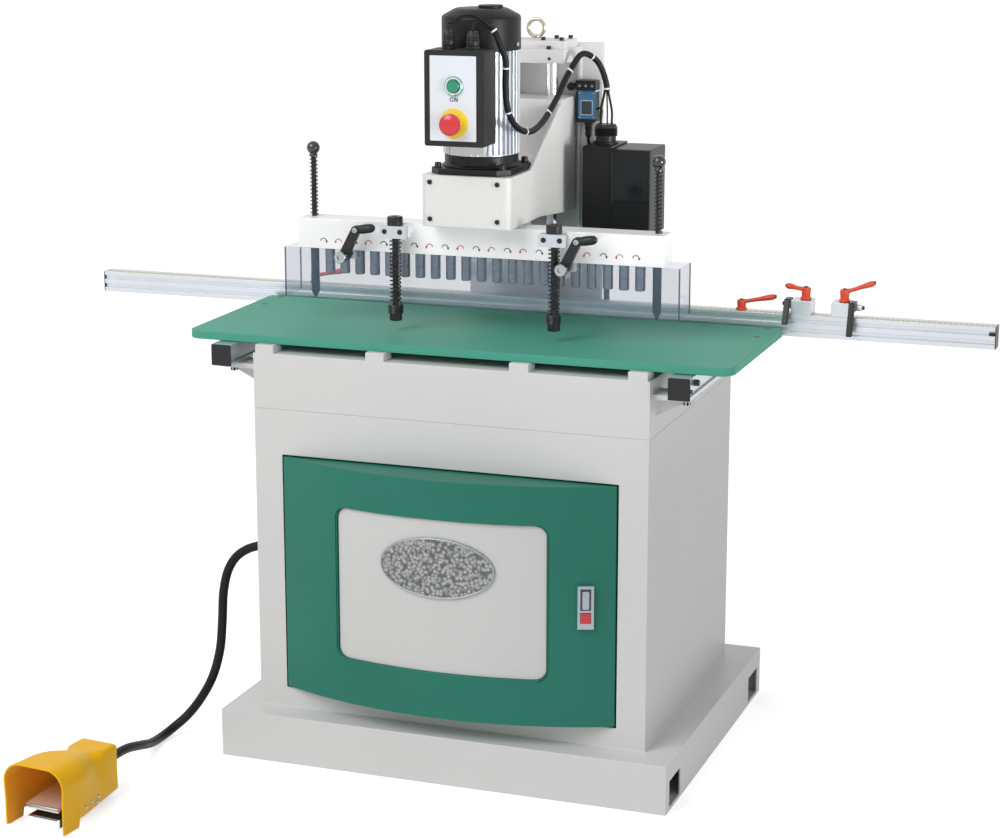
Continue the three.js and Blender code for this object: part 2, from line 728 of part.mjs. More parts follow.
// Column: back plate, shelf, cap with its eye bolt, foot, guide rods and the cylinder's barrel
function makeColumn() {
  const half = column.width / 2;
  const plateBack = column.front + column.thickness;
  const into = column.front + column.thickness / 2;
  const shelfHalf = shelf.width / 2;
  const pieces = [
    block([-half, half], [column.front, plateBack], [frameTop, columnTop]),
    block([-shelfHalf, shelfHalf], [shelfFront, into], [shelfUnder, shelfTop]),
    block(
      [-cap.width / 2, cap.width / 2],
      [shelfFront + cap.inward, shelfFront + cap.inward + cap.depth],
      [shelfTop - overrun, shelfTop + cap.height],
    ),
    block([-shelfHalf, shelfHalf], [shelfFront, into], [footTop - foot.thickness, footTop]),
  ];
  for (const side of [-1, 1]) {
    const rodX0 = side * guide.spread;
    pieces.push(rodZ(guide.radius, rodX0, guideY, [footTop - overrun, shelfUnder + overrun], roundSides));
    const edges = [side * shelfHalf, side * (shelfHalf - rib.width)].sort((a, b) => a - b);
    pieces.push(block(edges, [column.front - rib.depth, into], [footTop - overrun, shelfUnder + overrun]));
  }
  pieces.push(makeEyeBolt(), makeLimitSwitch(), makeBoxTab());
  const barrel = rodZ(cylinder.radius, 0, cylinderY, [footTop - overrun, cylinderTop], roundSides);
  const bore = rodZ(
    piston.radius + runningGap,
    0,
    cylinderY,
    [footTop - foot.thickness + overrun, cylinderTop + overrun],
    roundSides,
  );
  return cut(join(...pieces, barrel), bore);
}

function makeEyeBolt() {
  const y = shelfFront + cap.inward + cap.depth - eye.radius / 2;
  const low = shelfTop + cap.height;
  const ring = closed(new THREE.TorusGeometry(eye.radius, eye.wire, smallSides / 2, roundSides));
  ring.translate(eye.out, 0, 0).rotateX(Math.PI / 2).translate(0, y, low + eye.lift);
  const shank = rodZ(2 * eye.wire, eye.out, y, [low - overrun, low + eye.lift - eye.radius + eye.wire]);
  return join(ring, shank);
}

function makeLimitSwitch() {
  const { width, depth, height, left, lift } = limitSwitch;
  const low = tableTop + lift;
  const front = column.front - depth;
  const body = block([left, left + width], [front, column.front + joinDepth], [low, low + height]);
  const axleX = left - roller.out;
  const axleY = front + depth / 2;
  const axleZ = low + height - roller.drop;
  const half = roller.arm / 2;
  const armBar = block([axleX, left + joinDepth], [axleY, axleY + half], [axleZ - half, axleZ + half]);
  const wheel = rodY(roller.radius, axleX, [axleY - roller.width, axleY + joinDepth], axleZ);
  return join(body, armBar, wheel);
}

function makeBoxTab() {
  const half = column.width / 2;
  const low = tableTop + electric.lift + boxTab.margin;
  const high = low + electric.height - 2 * boxTab.margin;
  return block(
    [half - overrun, half + boxTab.reach],
    [column.front, column.front + boxTab.thickness],
    [low, high],
  );
}

// Electrical box with its glands and the feed cable to the frame
function makeElectricalBox() {
  const { width, depth, height, left, lift } = electric;
  const back = column.front - touchGap;
  const low = tableTop + lift;
  const top = low + height;
  const body = block([left, left + width], [back - depth, back], [low, top]);
  const glandY = back - electricGland.inward;
  const glands = [0, 1].map((i) => {
    const x = left + electricGland.firstOut + i * electricGland.spacing;
    return rodZ(electricGland.radius, x, glandY, [top - overrun, top + electricGland.length]);
  });
  const [firstX, firstY] = feedRoute[0];
  const [lastX, lastY] = feedRoute[feedRoute.length - 1];
  const inside = [firstX, firstY, low + overrun];
  const foot = [lastX, lastY, frameTop + touchGap];
  const points = routed(inside, [0, 0, -1], aboveTable(feedRoute), foot, [0, 0, 1], feedCable.radius);
  const cable = tube(points, feedCable.radius, feedCable.sides, feedCable.steps);
  return join(body, ...glands, cable);
}

// Head: gear case, slide block on the guide rods, gussets and the cylinder's rod
function makeHead() {
  const half = head.width / 2;
  const slideTop = slideUnder + slide.height;
  const profile = outline([
    [headFront, headUnder],
    [slideFront - head.taper, headUnder],
    [slideFront, slideUnder + slide.drop / 2],
    [slideBack, slideUnder],
    [slideBack, slideTop],
    [slideFront, slideTop],
    [slideFront, headTop],
    [headFront, headTop],
  ]);
  const pieces = [prism(profile, 'yz', [-half, half])];
  const web = [
    [slideFront - gusset.reach - gusset.low, headTop - overrun],
    [slideFront + overrun, headTop - overrun],
    [slideFront + overrun, slideTop - gusset.low / 2],
    [slideFront - gusset.low, slideTop - gusset.low],
    [slideFront - gusset.reach - gusset.low, headTop],
  ];
  for (const side of [-1, 1]) {
    const edges = [side * half, side * (half - gusset.sheet)].sort((a, b) => a - b);
    pieces.push(prism(outline(web), 'yz', edges));
  }
  pieces.push(block(
    [-half + head.padMargin, half - head.padMargin],
    [barFront + head.padMargin / 2, barBack - head.padMargin / 2],
    [barTop + touchGap, headUnder + overrun],
  ));
  const pistonEnd = slideUnder - piston.length;
  pieces.push(rodZ(piston.radius, 0, cylinderY, [pistonEnd, slideUnder + overrun], roundSides));
  const bores = [-1, 1].map((side) => rodZ(
    guide.radius + runningGap,
    side * guide.spread,
    guideY,
    [slideUnder - overrun, slideTop + overrun],
    roundSides,
  ));
  return cut(join(...pieces), ...bores);
}

function makeMotor() {
  const half = flange.size / 2;
  const c = flange.chamfer;
  const y = spindleLine;
  const plateShape = outline([
    [-half + c, y - half], [half - c, y - half], [half, y - half + c], [half, y + half - c],
    [half - c, y + half], [-half + c, y + half], [-half, y + half - c], [-half, y - half + c],
  ]);
  const { height, taper, topRadius, radius, overlap } = fanCover;
  const fanLow = bodyTop - overlap;
  const cover = turned(
    [[0, fanLow], [radius, fanLow], [radius, fanTop], [topRadius, fanTop + taper], [0, fanTop + taper]],
    0,
    y,
    roundSides,
  );
  const mountLow = controlsTop - boxMount.fromTop - boxMount.height;
  return join(
    prism(plateShape, 'xy', [headTop, flangeTop]),
    rodZ(motorNeck.radius, 0, y, [flangeTop - joinDepth, bodyLow + joinDepth], roundSides),
    rodZ(motorBody.radius, 0, y, [bodyLow, fanTop - height / 2], roundSides),
    cover,
    block(
      [-boxMount.width / 2, boxMount.width / 2],
      [controlsBack + touchGap, y - motorBody.core / 2],
      [mountLow, mountLow + boxMount.height],
    ),
  );
}

const controlX = controls.width / 2;

function makeControlBox() {
  const body = block([-controlX, controlX], [controlsFront, controlsBack], [controlsLow, controlsTop]);
  const onZ = controlsLow + onButton.lift;
  const stopZ = controlsLow + stopButton.lift;
  const front = controlsFront;
  const inside = front + joinDepth;
  const bezel = rodY(onButton.bezel, 0, [front - onButton.bezelDepth, inside], onZ, roundSides);
  const disc = rodY(stopButton.disc, 0, [front - stopButton.discDepth, inside], stopZ, roundSides);
  const collar = rodY(stopCollar.radius, 0, [front - stopCollar.depth, inside], stopZ, roundSides);
  const glandY = controlsFront + controlGland.inward;
  const glands = [controlGland.left, controlGland.right].map((x) => rodZ(
    controlGland.radius,
    x,
    glandY,
    [controlsTop - overrun, controlsTop + controlGland.length],
  ));
  const onDepth = onButton.length - onButton.proud + onButton.travel + runningGap;
  const onHole = rodY(
    onButton.radius + runningGap,
    0,
    [front - onButton.bezelDepth - overrun, front + onDepth],
    onZ,
    roundSides,
  );
  const stopHole = rodY(
    stopButton.stem + runningGap,
    0,
    [front - stopCollar.depth - overrun, front + stopCollar.hollow],
    stopZ,
    roundSides,
  );
  return cut(join(body, bezel, disc, collar, ...glands), onHole, stopHole);
}

function makeOnButton() {
  const from = controlsFront - onButton.proud;
  return rodY(onButton.radius, 0, [from, from + onButton.length], controlsLow + onButton.lift, roundSides);
}

function makeStopButton() {
  const from = controlsFront - stopButton.proud;
  const z = controlsLow + stopButton.lift;
  const stemEnd = controlsFront + stopCollar.hollow / 2;
  return join(
    rodY(stopButton.radius, 0, [from, from + stopButton.cap], z, roundSides),
    rodY(stopButton.stem, 0, [from + stopButton.cap - joinDepth, stemEnd], z, roundSides),
  );
}

// Places of the chucks along the bar
const chuckPlaces = [];
for (let i = 0; i < chuck.count; i += 1) {
  chuckPlaces.push(chuck.pitch * (i - (chuck.count - 1) / 2));
}

function makeChuck(x) {
  const low = barUnder - chuck.length;
  return turned(
    [
      [0, low],
      [chuck.radius - chuck.chamfer, low],
      [chuck.radius, low + chuck.chamfer],
      [chuck.radius, barUnder - touchGap],
      [spindle.radius, barUnder - touchGap],
      [spindle.radius, barUnder + spindle.length - touchGap],
      [0, barUnder + spindle.length - touchGap],
    ],
    x,
    spindleLine,
    chuck.sides,
  );
}

const leverPlaces = [lever.left, lever.right];
const holdPlaces = [holdDown.left, holdDown.right];
const shoulderZ = barTop - indexPin.shoulder;

// Where the knob's bulge starts and ends, as shares of its height
const bulgeLowShare = 0.3;
const bulgeHighShare = 0.7;

function makeSpindleBar() {
  const half = bar.width / 2;
  const pieces = [block([-half, half], [barFront, barBack], [barUnder, barTop])];
  const holes = [];
  for (const x of holdPlaces) {
    pieces.push(block(
      [x - clampBlock.width / 2, x + clampBlock.width / 2],
      [holdY - clampBlock.depth / 2, holdY + clampBlock.depth / 2],
      [blockUnder, blockTop],
    ));
    pieces.push(rodY(
      clampBlock.stub,
      x + clampBlock.stubOut,
      [holdY + clampBlock.depth / 2 - overrun, barFront + overrun],
      (blockTop + blockUnder) / 2,
    ));
    holes.push(rodZ(holdDown.rod + runningGap, x, holdY, [blockUnder - overrun, blockTop + overrun]));
  }
  const lugBack = guardFront + guard.sheet + touchGap + guardLug.depth;
  for (const x of leverPlaces) {
    pieces.push(block(
      [x - guardLug.width / 2, x + guardLug.width / 2],
      [guardFront + guard.sheet + touchGap, lugBack],
      [barUnder - guardLug.height, barUnder + overrun],
    ));
    holes.push(rodY(stud.radius + runningGap, x, [guardFront, lugBack - overrun], studZ));
  }
  for (const side of [-1, 1]) {
    const x = side * indexPin.out;
    holes.push(rodZ(indexPin.radius + runningGap, x, spindleLine, [barUnder - overrun, shoulderZ]));
    holes.push(rodZ(indexPin.rod + runningGap, x, spindleLine, [shoulderZ - joinDepth, barTop + overrun]));
  }
  // A bore of flat sides leaves room for the corners of the spindle that turns in it
  const bore = (spindle.radius + runningGap) / Math.cos(Math.PI / chuck.sides);
  for (const x of chuckPlaces) {
    const top = barUnder + spindle.length;
    holes.push(rodZ(bore, x, spindleLine, [barUnder - overrun, top], chuck.sides));
  }
  return cut(join(...pieces), ...holes);
}

function makeGuard() {
  const { width, depth, height, sheet } = guard;
  const low = guardTop - height;
  const wall = cut(
    block([-width / 2, width / 2], [guardFront, guardFront + depth], [low, guardTop]),
    block(
      [-width / 2 + sheet, width / 2 - sheet],
      [guardFront + sheet, guardFront + depth - sheet],
      [low - overrun, guardTop + overrun],
    ),
  );
  const holes = leverPlaces.map((x) => rodY(
    stud.radius + runningGap,
    x,
    [guardFront - overrun, guardFront + sheet + overrun],
    studZ,
  ));
  return cut(wall, ...holes);
}

// A capsule outline between two places, for arms and grips
function capsule([u0, v0], [u1, v1], radius) {
  const angle = Math.atan2(v1 - v0, u1 - u0);
  const shape = new THREE.Shape();
  shape.absarc(u1, v1, radius, angle - Math.PI / 2, angle + Math.PI / 2);
  shape.absarc(u0, v0, radius, angle + Math.PI / 2, angle + Math.PI * 1.5);
  return shape;
}

function makeGuardLever(x) {
  const front = spindleLine - lever.forward;
  const hubBack = front + lever.hubLength;
  const armBack = hubBack + lever.armDepth;
  const pivot = [x + leverReach.across, studZ + leverReach.up];
  const end = [x + leverReach.gripAcross, studZ + leverReach.gripUp];
  const round = lever.armWidth / 2;
  const studEnd = guardFront + guard.sheet + guardLug.depth - overrun - joinDepth;
  return join(
    rodY(lever.hub, x, [front, hubBack + joinDepth], studZ, roundSides),
    prism(capsule([x, studZ], pivot, round), 'xz', [hubBack, armBack]),
    prism(capsule(pivot, end, leverReach.grip), 'xz', [hubBack + joinDepth, armBack - joinDepth]),
    rodY(stud.radius, x, [hubBack, studEnd], studZ),
  );
}

function makeIndexPin(x) {
  const low = barUnder - indexPin.drop;
  const knobLow = barTop + knob.lift;
  const knobTop = knobLow + knob.collarHeight + knob.height;
  const bulge = knob.radius;
  const neck = knobLow + knob.collarHeight;
  return turned(
    [
      [0, low - indexPin.point],
      [indexPin.tip, low - indexPin.point],
      [indexPin.radius, low],
      [indexPin.radius, shoulderZ - touchGap],
      [indexPin.rod, shoulderZ - touchGap],
      [indexPin.rod, knobLow],
      [knob.collar, knobLow],
      [knob.collar, neck],
      [bulge, neck + knob.height * bulgeLowShare],
      [bulge, neck + knob.height * bulgeHighShare],
      [knob.collar, knobTop],
      [0, knobTop],
    ],
    x,
    spindleLine,
  );
}

function makeHoldDown(x) {
  const collarLow = footLow + shoe.height;
  const nutLow = blockTop + touchGap;
  return turned(
    [
      [0, footLow],
      [shoe.radius, footLow],
      [shoe.radius, collarLow],
      [shoe.collar, collarLow],
      [shoe.collar, shoeTop],
      [holdDown.rod, shoeTop],
      [holdDown.rod, nutLow],
      [nut.radius, nutLow],
      [nut.radius, nutLow + nut.height],
      [0, nutLow + nut.height],
    ],
    x,
    holdY,
    nut.sides,
  );
}

// Fence beam with grooves in its front, and a carriage over each rail
function makeFence() {
  const x0 = fence.shift - fence.length / 2;
  const x1 = fence.shift + fence.length / 2;
  const beam = block([x0, x1], [fenceFront, fenceFront + fence.depth], [fenceLow, fenceTop]);
  const grooves = [fenceGroove.low, fenceGroove.high].map((lift) => block(
    [x0 - overrun, x1 + overrun],
    [fenceFront - overrun, fenceFront + fenceGroove.depth],
    [fenceLow + lift, fenceLow + lift + fenceGroove.width],
  ));
  const cheeks = [];
  for (const side of [-1, 1]) {
    for (const edge of [-1, 1]) {
      const near = side * rail.middle + edge * (rail.size / 2 + runningGap);
      const span = [near, near + edge * carriage.cheek].sort((a, b) => a - b);
      cheeks.push(block(
        span,
        [fenceFront, fenceFront + fence.depth],
        [fenceLow - carriage.drop, fenceLow + fenceGroove.low / 2],
      ));
    }
  }
  return join(cut(beam, ...grooves), ...cheeks);
}

// A ratchet lever: base, hub and a rising arm along X with a thicker end
function makeRatchet(x, low, { reach, rise }, height) {
  const along = Math.sign(reach);
  const root = low + height - ratchet.armHeight;
  const tip = x + reach;
  const side = outline([
    [x, root],
    [tip, root + rise],
    [tip, root + rise + ratchet.tipHeight],
    [tip - along * ratchet.tipHeight, root + rise + ratchet.tipHeight],
    [x + along * ratchet.hub, root + ratchet.armHeight],
    [x, root + ratchet.armHeight],
  ]);
  const half = ratchet.armWidth / 2;
  return join(
    rodZ(ratchet.base, x, fenceY, [low, low + ratchet.baseHeight]),
    rodZ(ratchet.hub, x, fenceY, [low + ratchet.baseHeight - joinDepth, low + height]),
    facingOut(prism(side, 'xz', [fenceY - half, fenceY + half])),
  );
}

function makeStopBlock(stop, side) {
  const back = fenceFront + fence.depth;
  const x1 = stop.left + stop.width;
  const face = side < 0 ? stop.left : x1;
  const pivotZ = stopTop - finger.pivotDrop;
  const nutNear = face + side * (finger.thickness + 2 * touchGap);
  const nutFar = nutNear + side * stop.nutLength;
  const rod = (radius, near, far) => rodX(radius, [near, far].sort((a, b) => a - b), fenceY, pivotZ);
  return join(
    block([stop.left, x1], [fenceFront - touchGap, back + stopBlock.lip], [fenceTop + touchGap, stopTop]),
    block(
      [stop.left, x1],
      [back + touchGap, back + stopBlock.lip],
      [fenceTop - stopBlock.lipDrop, stopTop - overrun],
    ),
    rod(finger.pin, face - side * overrun, nutFar + side * finger.tail),
    rod(stop.nut, nutNear, nutFar),
  );
}

function makeFinger(stop, side) {
  const face = side < 0 ? stop.left : stop.left + stop.width;
  const near = face + side * touchGap;
  const span = [near, near + side * finger.thickness].sort((a, b) => a - b);
  const pivotZ = stopTop - finger.pivotDrop;
  const half = finger.width / 2;
  const front = fenceY - finger.reach;
  const low = stopTop - stop.drop;
  const high = pivotZ + half + finger.rise;
  const clear = fenceFront - overrun;
  const shape = outline([
    [front - half, low],
    [front + half / 2, low],
    [clear, pivotZ - half],
    [fenceY + half, pivotZ - half],
    [fenceY + half, high - half / 2],
    [fenceY + half / 2, high],
    [clear, high],
  ]);
  const hole = rodX(finger.pin + runningGap, [span[0] - overrun, span[1] + overrun], fenceY, pivotZ);
  return cut(prism(shape, 'yz', span), hole);
}

// Foot pedal, made in its own frame with the mouth towards -Y
const treadlePinZ = treadle.backTop - treadlePin.barrel;
const treadleEnd = treadle.halfWidth + treadlePin.gap + treadlePin.ear / 2;
const pedalGroup = new THREE.Group();
pedalGroup.position.set(pedal.x, pedal.y, 0);
pedalGroup.rotation.z = THREE.MathUtils.degToRad(pedal.turn);
machine.add(pedalGroup);

// The hood's outline at a station, drawn in by the sheet for its inner face
function hoodSection({ out, half, height, round, low }, inward) {
  const right = [[half - inward, low]];
  const corner = round - inward;
  for (let i = 0; i <= hoodCornerSteps; i += 1) {
    const angle = (i / hoodCornerSteps) * (Math.PI / 2);
    right.push([half - round + corner * Math.cos(angle), height - round + corner * Math.sin(angle)]);
  }
  const left = right.map(([u, w]) => [-u, w]).reverse();
  return [...right, ...left].map(([u, w]) => [u, -out, w]);
}

function makePedalHousing() {
  const hood = skinned(hoodStations.map((station) => [
    ...hoodSection(station, 0),
    ...hoodSection(station, pedal.wall).reverse(),
  ]));
  const rear = skinned([hoodSection(hoodBack, 0), hoodSection({ ...hoodBack, out: pedal.wall }, 0)]);
  const { halfWidth, length, height, footLength, spineHalf, bridgeFront, bridgeBack } = pedalBase;
  const footBack = footLength - length;
  const base = block([-halfWidth, halfWidth], [-length, footBack], [0, height]);
  const spine = block([-spineHalf, spineHalf], [footBack - overrun, -pedal.wall / 2], [0, height]);
  const wide = hoodBack.half - pedal.wall / 2;
  const raised = [hoodBack.low, height + overrun];
  const bridge = block([-wide, wide], [-bridgeFront, -bridgeBack], raised);
  const ears = [-1, 1].map((side) => {
    const near = side * (treadle.halfWidth + treadlePin.gap);
    const span = [near, near + side * treadlePin.ear].sort((a, b) => a - b);
    return block(
      span,
      [-treadle.back - treadlePin.barrel, -treadle.back + treadlePin.barrel],
      [hoodBack.low, treadlePinZ + treadlePin.barrel],
    );
  });
  const earEnd = treadle.halfWidth + treadlePin.gap + treadlePin.ear;
  const sill = block(
    [-earEnd, earEnd],
    [-treadle.back - treadlePin.barrel, -treadle.back + treadlePin.barrel],
    raised,
  );
  const holeEnd = treadleEnd + runningGap;
  const hole = rodX(treadlePin.radius + runningGap, [-holeEnd, holeEnd], -treadle.back, treadlePinZ);
  return cut(join(hood, rear, base, spine, bridge, sill, ...ears), hole);
}

function makeTreadle() {
  const { halfWidth, back, front, thickness, frontTop, backTop, lip } = treadle;
  const plate = outline([
    [-front, frontTop - lip],
    [-front + thickness, frontTop - lip],
    [-front + thickness, frontTop - thickness],
    [-back, backTop - thickness],
    [-back, backTop],
    [-front, frontTop],
  ]);
  return join(
    facingOut(prism(plate, 'yz', [-halfWidth, halfWidth])),
    rodX(treadlePin.barrel, [-halfWidth, halfWidth], -back, treadlePinZ),
    rodX(treadlePin.radius, [-treadleEnd, treadleEnd], -back, treadlePinZ),
  );
}

function makeHose() {
  const start = [
    -cabinet.width / 2 - hoseGland.length - touchGap,
    cabinetFront + hoseGland.inward,
    plinth.height + hoseGland.lift,
  ];
  const turn = THREE.MathUtils.degToRad(pedal.turn);
  const away = [-Math.sin(turn), Math.cos(turn), 0];
  const end = [pedal.x + away[0] * touchGap, pedal.y + away[1] * touchGap, pedal.hoseEntry];
  const points = routed(start, [-1, 0, 0], hoseRoute, end, away, hose.radius);
  return tube(points, hose.radius, hose.sides, hose.steps);
}

function makeHarness() {
  const start = [
    controlGland.left,
    controlsFront + controlGland.inward,
    controlsTop + controlGland.length + touchGap,
  ];
  const back = column.front - touchGap;
  const end = [
    electric.left + electricGland.firstOut + electricGland.spacing / 2,
    back - electricGland.inward,
    tableTop + electric.lift + electric.height + electricGland.length + touchGap,
  ];
  const points = routed(start, [0, 0, 1], aboveTable(harnessRoute), end, [0, 0, 1], harness.radius);
  return tube(points, harness.radius, harness.sides, harness.steps);
}

// The standing parts
add('cabinet', makeCabinet(), paint);
add('cabinet_door', makeDoor(), doorGreen);
add('latch_button', makeLatchButton(), red);
add('top_frame', makeTopFrame(), paint);
add('table', makeTable(), tableGreen);
add('rail_left', makeRail(-1), aluminium);
add('rail_right', makeRail(1), aluminium);
add('column', makeColumn(), paint);
add('electrical_box', makeElectricalBox(), blackPlastic);

// The head and what rides on it
add('head_casting', makeHead(), paint);
add('motor', makeMotor(), aluminium);
add('control_box', makeControlBox(), blackPlastic);
add('on_button', makeOnButton(), green);
add('stop_button', makeStopButton(), red);
add('spindle_bar', makeSpindleBar(), aluminium);
add('guard', makeGuard(), clear);
chuckPlaces.forEach((x, i) => {
  add(`chuck_${String(i + 1).padStart(2, '0')}`, makeChuck(x), steel);
});
for (const [side, name] of [[-1, 'left'], [1, 'right']]) {
  const pinX = side * indexPin.out;
  const holdX = holdDown[name];
  const seats = [barTop, barTop + knob.lift];
  add(`index_pin_${name}`, makeIndexPin(pinX), blackSteel);
  const pinSpring = spring(`index_spring_${name}`, indexSpring, pinX, spindleLine, seats);
  add(`index_spring_${name}`, pinSpring, blackSteel);
  add(`holddown_rod_${name}`, makeHoldDown(holdX), blackSteel);
  const space = [shoeTop, blockUnder];
  const rodSpring = spring(`holddown_spring_${name}`, holdSpring, holdX, holdY, space);
  add(`holddown_spring_${name}`, rodSpring, blackSteel);
  add(`guard_lever_${name}`, makeGuardLever(lever[name]), blackPlastic);
}

// The fence and its stops
const leverLow = fenceTop + touchGap;
add('fence_beam', makeFence(), aluminium);
add('fence_lever_left', makeRatchet(-rail.middle, leverLow, fenceLever, fenceLever.height), red);
add('fence_lever_right', makeRatchet(rail.middle, leverLow, fenceLever, fenceLever.height), red);
for (const [name, stop, side] of [['inner', innerStop, -1], ['outer', outerStop, 1]]) {
  add(`stop_block_${name}`, makeStopBlock(stop, side), aluminium);
  add(`stop_finger_${name}`, makeFinger(stop, side), blackSteel);
  const clamp = makeRatchet(stop.hub, stopTop + touchGap, stop, stopLever.height);
  add(`stop_lever_${name}`, clamp, red);
}

// The foot pedal, its hose and the harness
add('pedal_housing', makePedalHousing(), yellow, pedalGroup);
add('pedal_treadle', makeTreadle(), steel, pedalGroup);
add('pedal_hose', makeHose(), blackPlastic);
add('wiring_harness', makeHarness(), blackPlastic);

export default machine;
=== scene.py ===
"""Looks of the line boring machine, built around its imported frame.

Shapes are written in millimetres, in the frame of the part, and become metres in piece().
"""
import json
from math import asin, atan2, cos, pi, radians, sin, tan
import bpy
import bmesh
from mathutils import Matrix, Vector

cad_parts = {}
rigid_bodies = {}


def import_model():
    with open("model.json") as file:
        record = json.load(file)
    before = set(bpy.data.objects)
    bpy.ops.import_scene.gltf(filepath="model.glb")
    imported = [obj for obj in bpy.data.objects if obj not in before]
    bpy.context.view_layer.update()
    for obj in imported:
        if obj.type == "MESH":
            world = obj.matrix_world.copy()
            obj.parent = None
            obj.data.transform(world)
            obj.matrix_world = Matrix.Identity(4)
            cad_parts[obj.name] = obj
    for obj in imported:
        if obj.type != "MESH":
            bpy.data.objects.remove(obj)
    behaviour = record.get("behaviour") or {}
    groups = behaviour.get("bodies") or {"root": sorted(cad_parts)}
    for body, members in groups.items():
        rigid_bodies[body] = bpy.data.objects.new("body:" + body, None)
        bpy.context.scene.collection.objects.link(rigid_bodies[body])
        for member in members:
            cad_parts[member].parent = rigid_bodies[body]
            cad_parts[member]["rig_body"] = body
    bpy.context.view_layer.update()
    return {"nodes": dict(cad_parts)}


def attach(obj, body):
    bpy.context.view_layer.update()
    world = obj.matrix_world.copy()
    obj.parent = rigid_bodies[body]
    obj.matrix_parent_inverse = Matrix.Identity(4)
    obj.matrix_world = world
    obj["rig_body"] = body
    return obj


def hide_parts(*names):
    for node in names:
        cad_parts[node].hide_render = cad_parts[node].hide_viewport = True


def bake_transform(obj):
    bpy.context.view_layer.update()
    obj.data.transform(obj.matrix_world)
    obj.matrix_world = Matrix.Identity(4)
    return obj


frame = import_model()

MM = 0.001
TAU = 2 * pi
X, Y, Z = Vector((1, 0, 0)), Vector((0, 1, 0)), Vector((0, 0, 1))
SIDES = ((-1, "left"), (1, "right"))
STILL = "machine_frame"

# Camera: its place in metres, its angles in degrees, its lens in pixels of a picture this wide
CAMERA_AT = (1.59861, -4.51337, 1.78835)
YAW, PITCH, ROLL = 21.32, 13.44, -0.43
FOCAL_LENGTH, CENTRE_X, CENTRE_Y = 2443.99, 424.63, 419.6
PICTURE_WIDTH, PICTURE_HEIGHT = 1000, 838


def placed(name, data):
    """A new object in the scene."""
    made = bpy.data.objects.new(name, data)
    bpy.context.scene.collection.objects.link(made)
    return made


def make_camera():
    data = bpy.data.cameras.new("camera")
    data.sensor_width = 36
    data.lens = FOCAL_LENGTH / PICTURE_WIDTH * data.sensor_width
    data.shift_x = (PICTURE_WIDTH / 2 - CENTRE_X) / PICTURE_WIDTH
    data.shift_y = (CENTRE_Y - PICTURE_HEIGHT / 2) / PICTURE_WIDTH
    data.clip_end = 60
    yaw, pitch, roll = radians(YAW), radians(PITCH), radians(ROLL)
    forward = Vector((
        -sin(yaw) * cos(pitch), cos(yaw) * cos(pitch), -sin(pitch)))
    right = forward.cross(Z).normalized()
    up = right.cross(forward)
    across = right * cos(roll) + up * sin(roll)
    upward = up * cos(roll) - right * sin(roll)
    turn = Matrix((across, upward, -forward)).transposed().to_4x4()
    camera = placed("camera", data)
    camera.matrix_world = Matrix.Translation(CAMERA_AT) @ turn
    bpy.context.scene.camera = camera


make_camera()


# Materials
def fill(tree, node, values):
    """Sets a node's settings and inputs by name or as in0, in1, and links the sockets given."""
    for key, value in values.items():
        if hasattr(node, key):
            setattr(node, key, value)
            continue
        entry = node.inputs[int(key[2:]) if key in ("in0", "in1", "in2") else key.replace("_", " ")]
        if isinstance(value, bpy.types.NodeSocket):
            tree.links.new(value, entry)
        else:
            entry.default_value = value


def node_of(tree, kind, **values):
    node = tree.nodes.new("ShaderNode" + kind)
    fill(tree, node, values)
    return node


def made_tree(block):
    block.use_nodes = True
    return block.node_tree


def linear(r, g, b):
    """A colour as it reads on a screen, 0 to 255, made linear."""
    return [((v / 255 + 0.055) / 1.055) ** 2.4 if v > 10 else v / 255 / 12.92 for v in (r, g, b)]


def noise_of(tree, scale, detail, stretch=(1, 1, 1)):
    place = node_of(tree, "TexCoord").outputs["Object"]
    spread = node_of(tree, "Mapping", Scale=stretch, Vector=place)
    noise = node_of(tree, "TexNoise", Scale=scale, Detail=detail, Vector=spread.outputs["Vector"])
    return noise.outputs["Fac"]


def ramp_of(tree, source, stops):
    ramp = node_of(tree, "ValToRGB", Fac=source)
    for element, (place, colour) in zip(ramp.color_ramp.elements, stops):
        element.position = place
        element.color = (*colour, 1)
    return ramp.outputs["Color"]


PATCH_SCALE = 3.0


def surface(name, slot, colour, rough, metal, grain, bump, vary, stretch=(1, 1, 1), spread=0.05,
            **more):
    """A screen colour with soft patches, a grain in its roughness, and the same grain as bump."""
    made = bpy.data.materials.new(name)
    tree = made_tree(made)
    colour = linear(*colour)
    dark = [c * (1 - vary) for c in colour]
    light = [min(1.0, c * (1 + vary)) for c in colour]
    tint = ramp_of(tree, noise_of(tree, PATCH_SCALE, 4.0), ((0.35, dark), (0.65, light)))
    fine = noise_of(tree, grain, 2.0, stretch)
    span = node_of(tree, "MapRange", Value=fine, To_Min=max(0.02, rough - spread),
                   To_Max=min(1.0, rough + spread))
    relief = node_of(tree, "Bump", Strength=bump, Distance=0.001, Height=fine)
    values = {"Base_Color": tint, "Metallic": metal, "Roughness": span.outputs["Result"],
              "Normal": relief.outputs["Normal"], "IOR": 1.5, "Coat_Roughness": 0.12, **more}
    fill(tree, tree.nodes["Principled BSDF"], values)
    return made


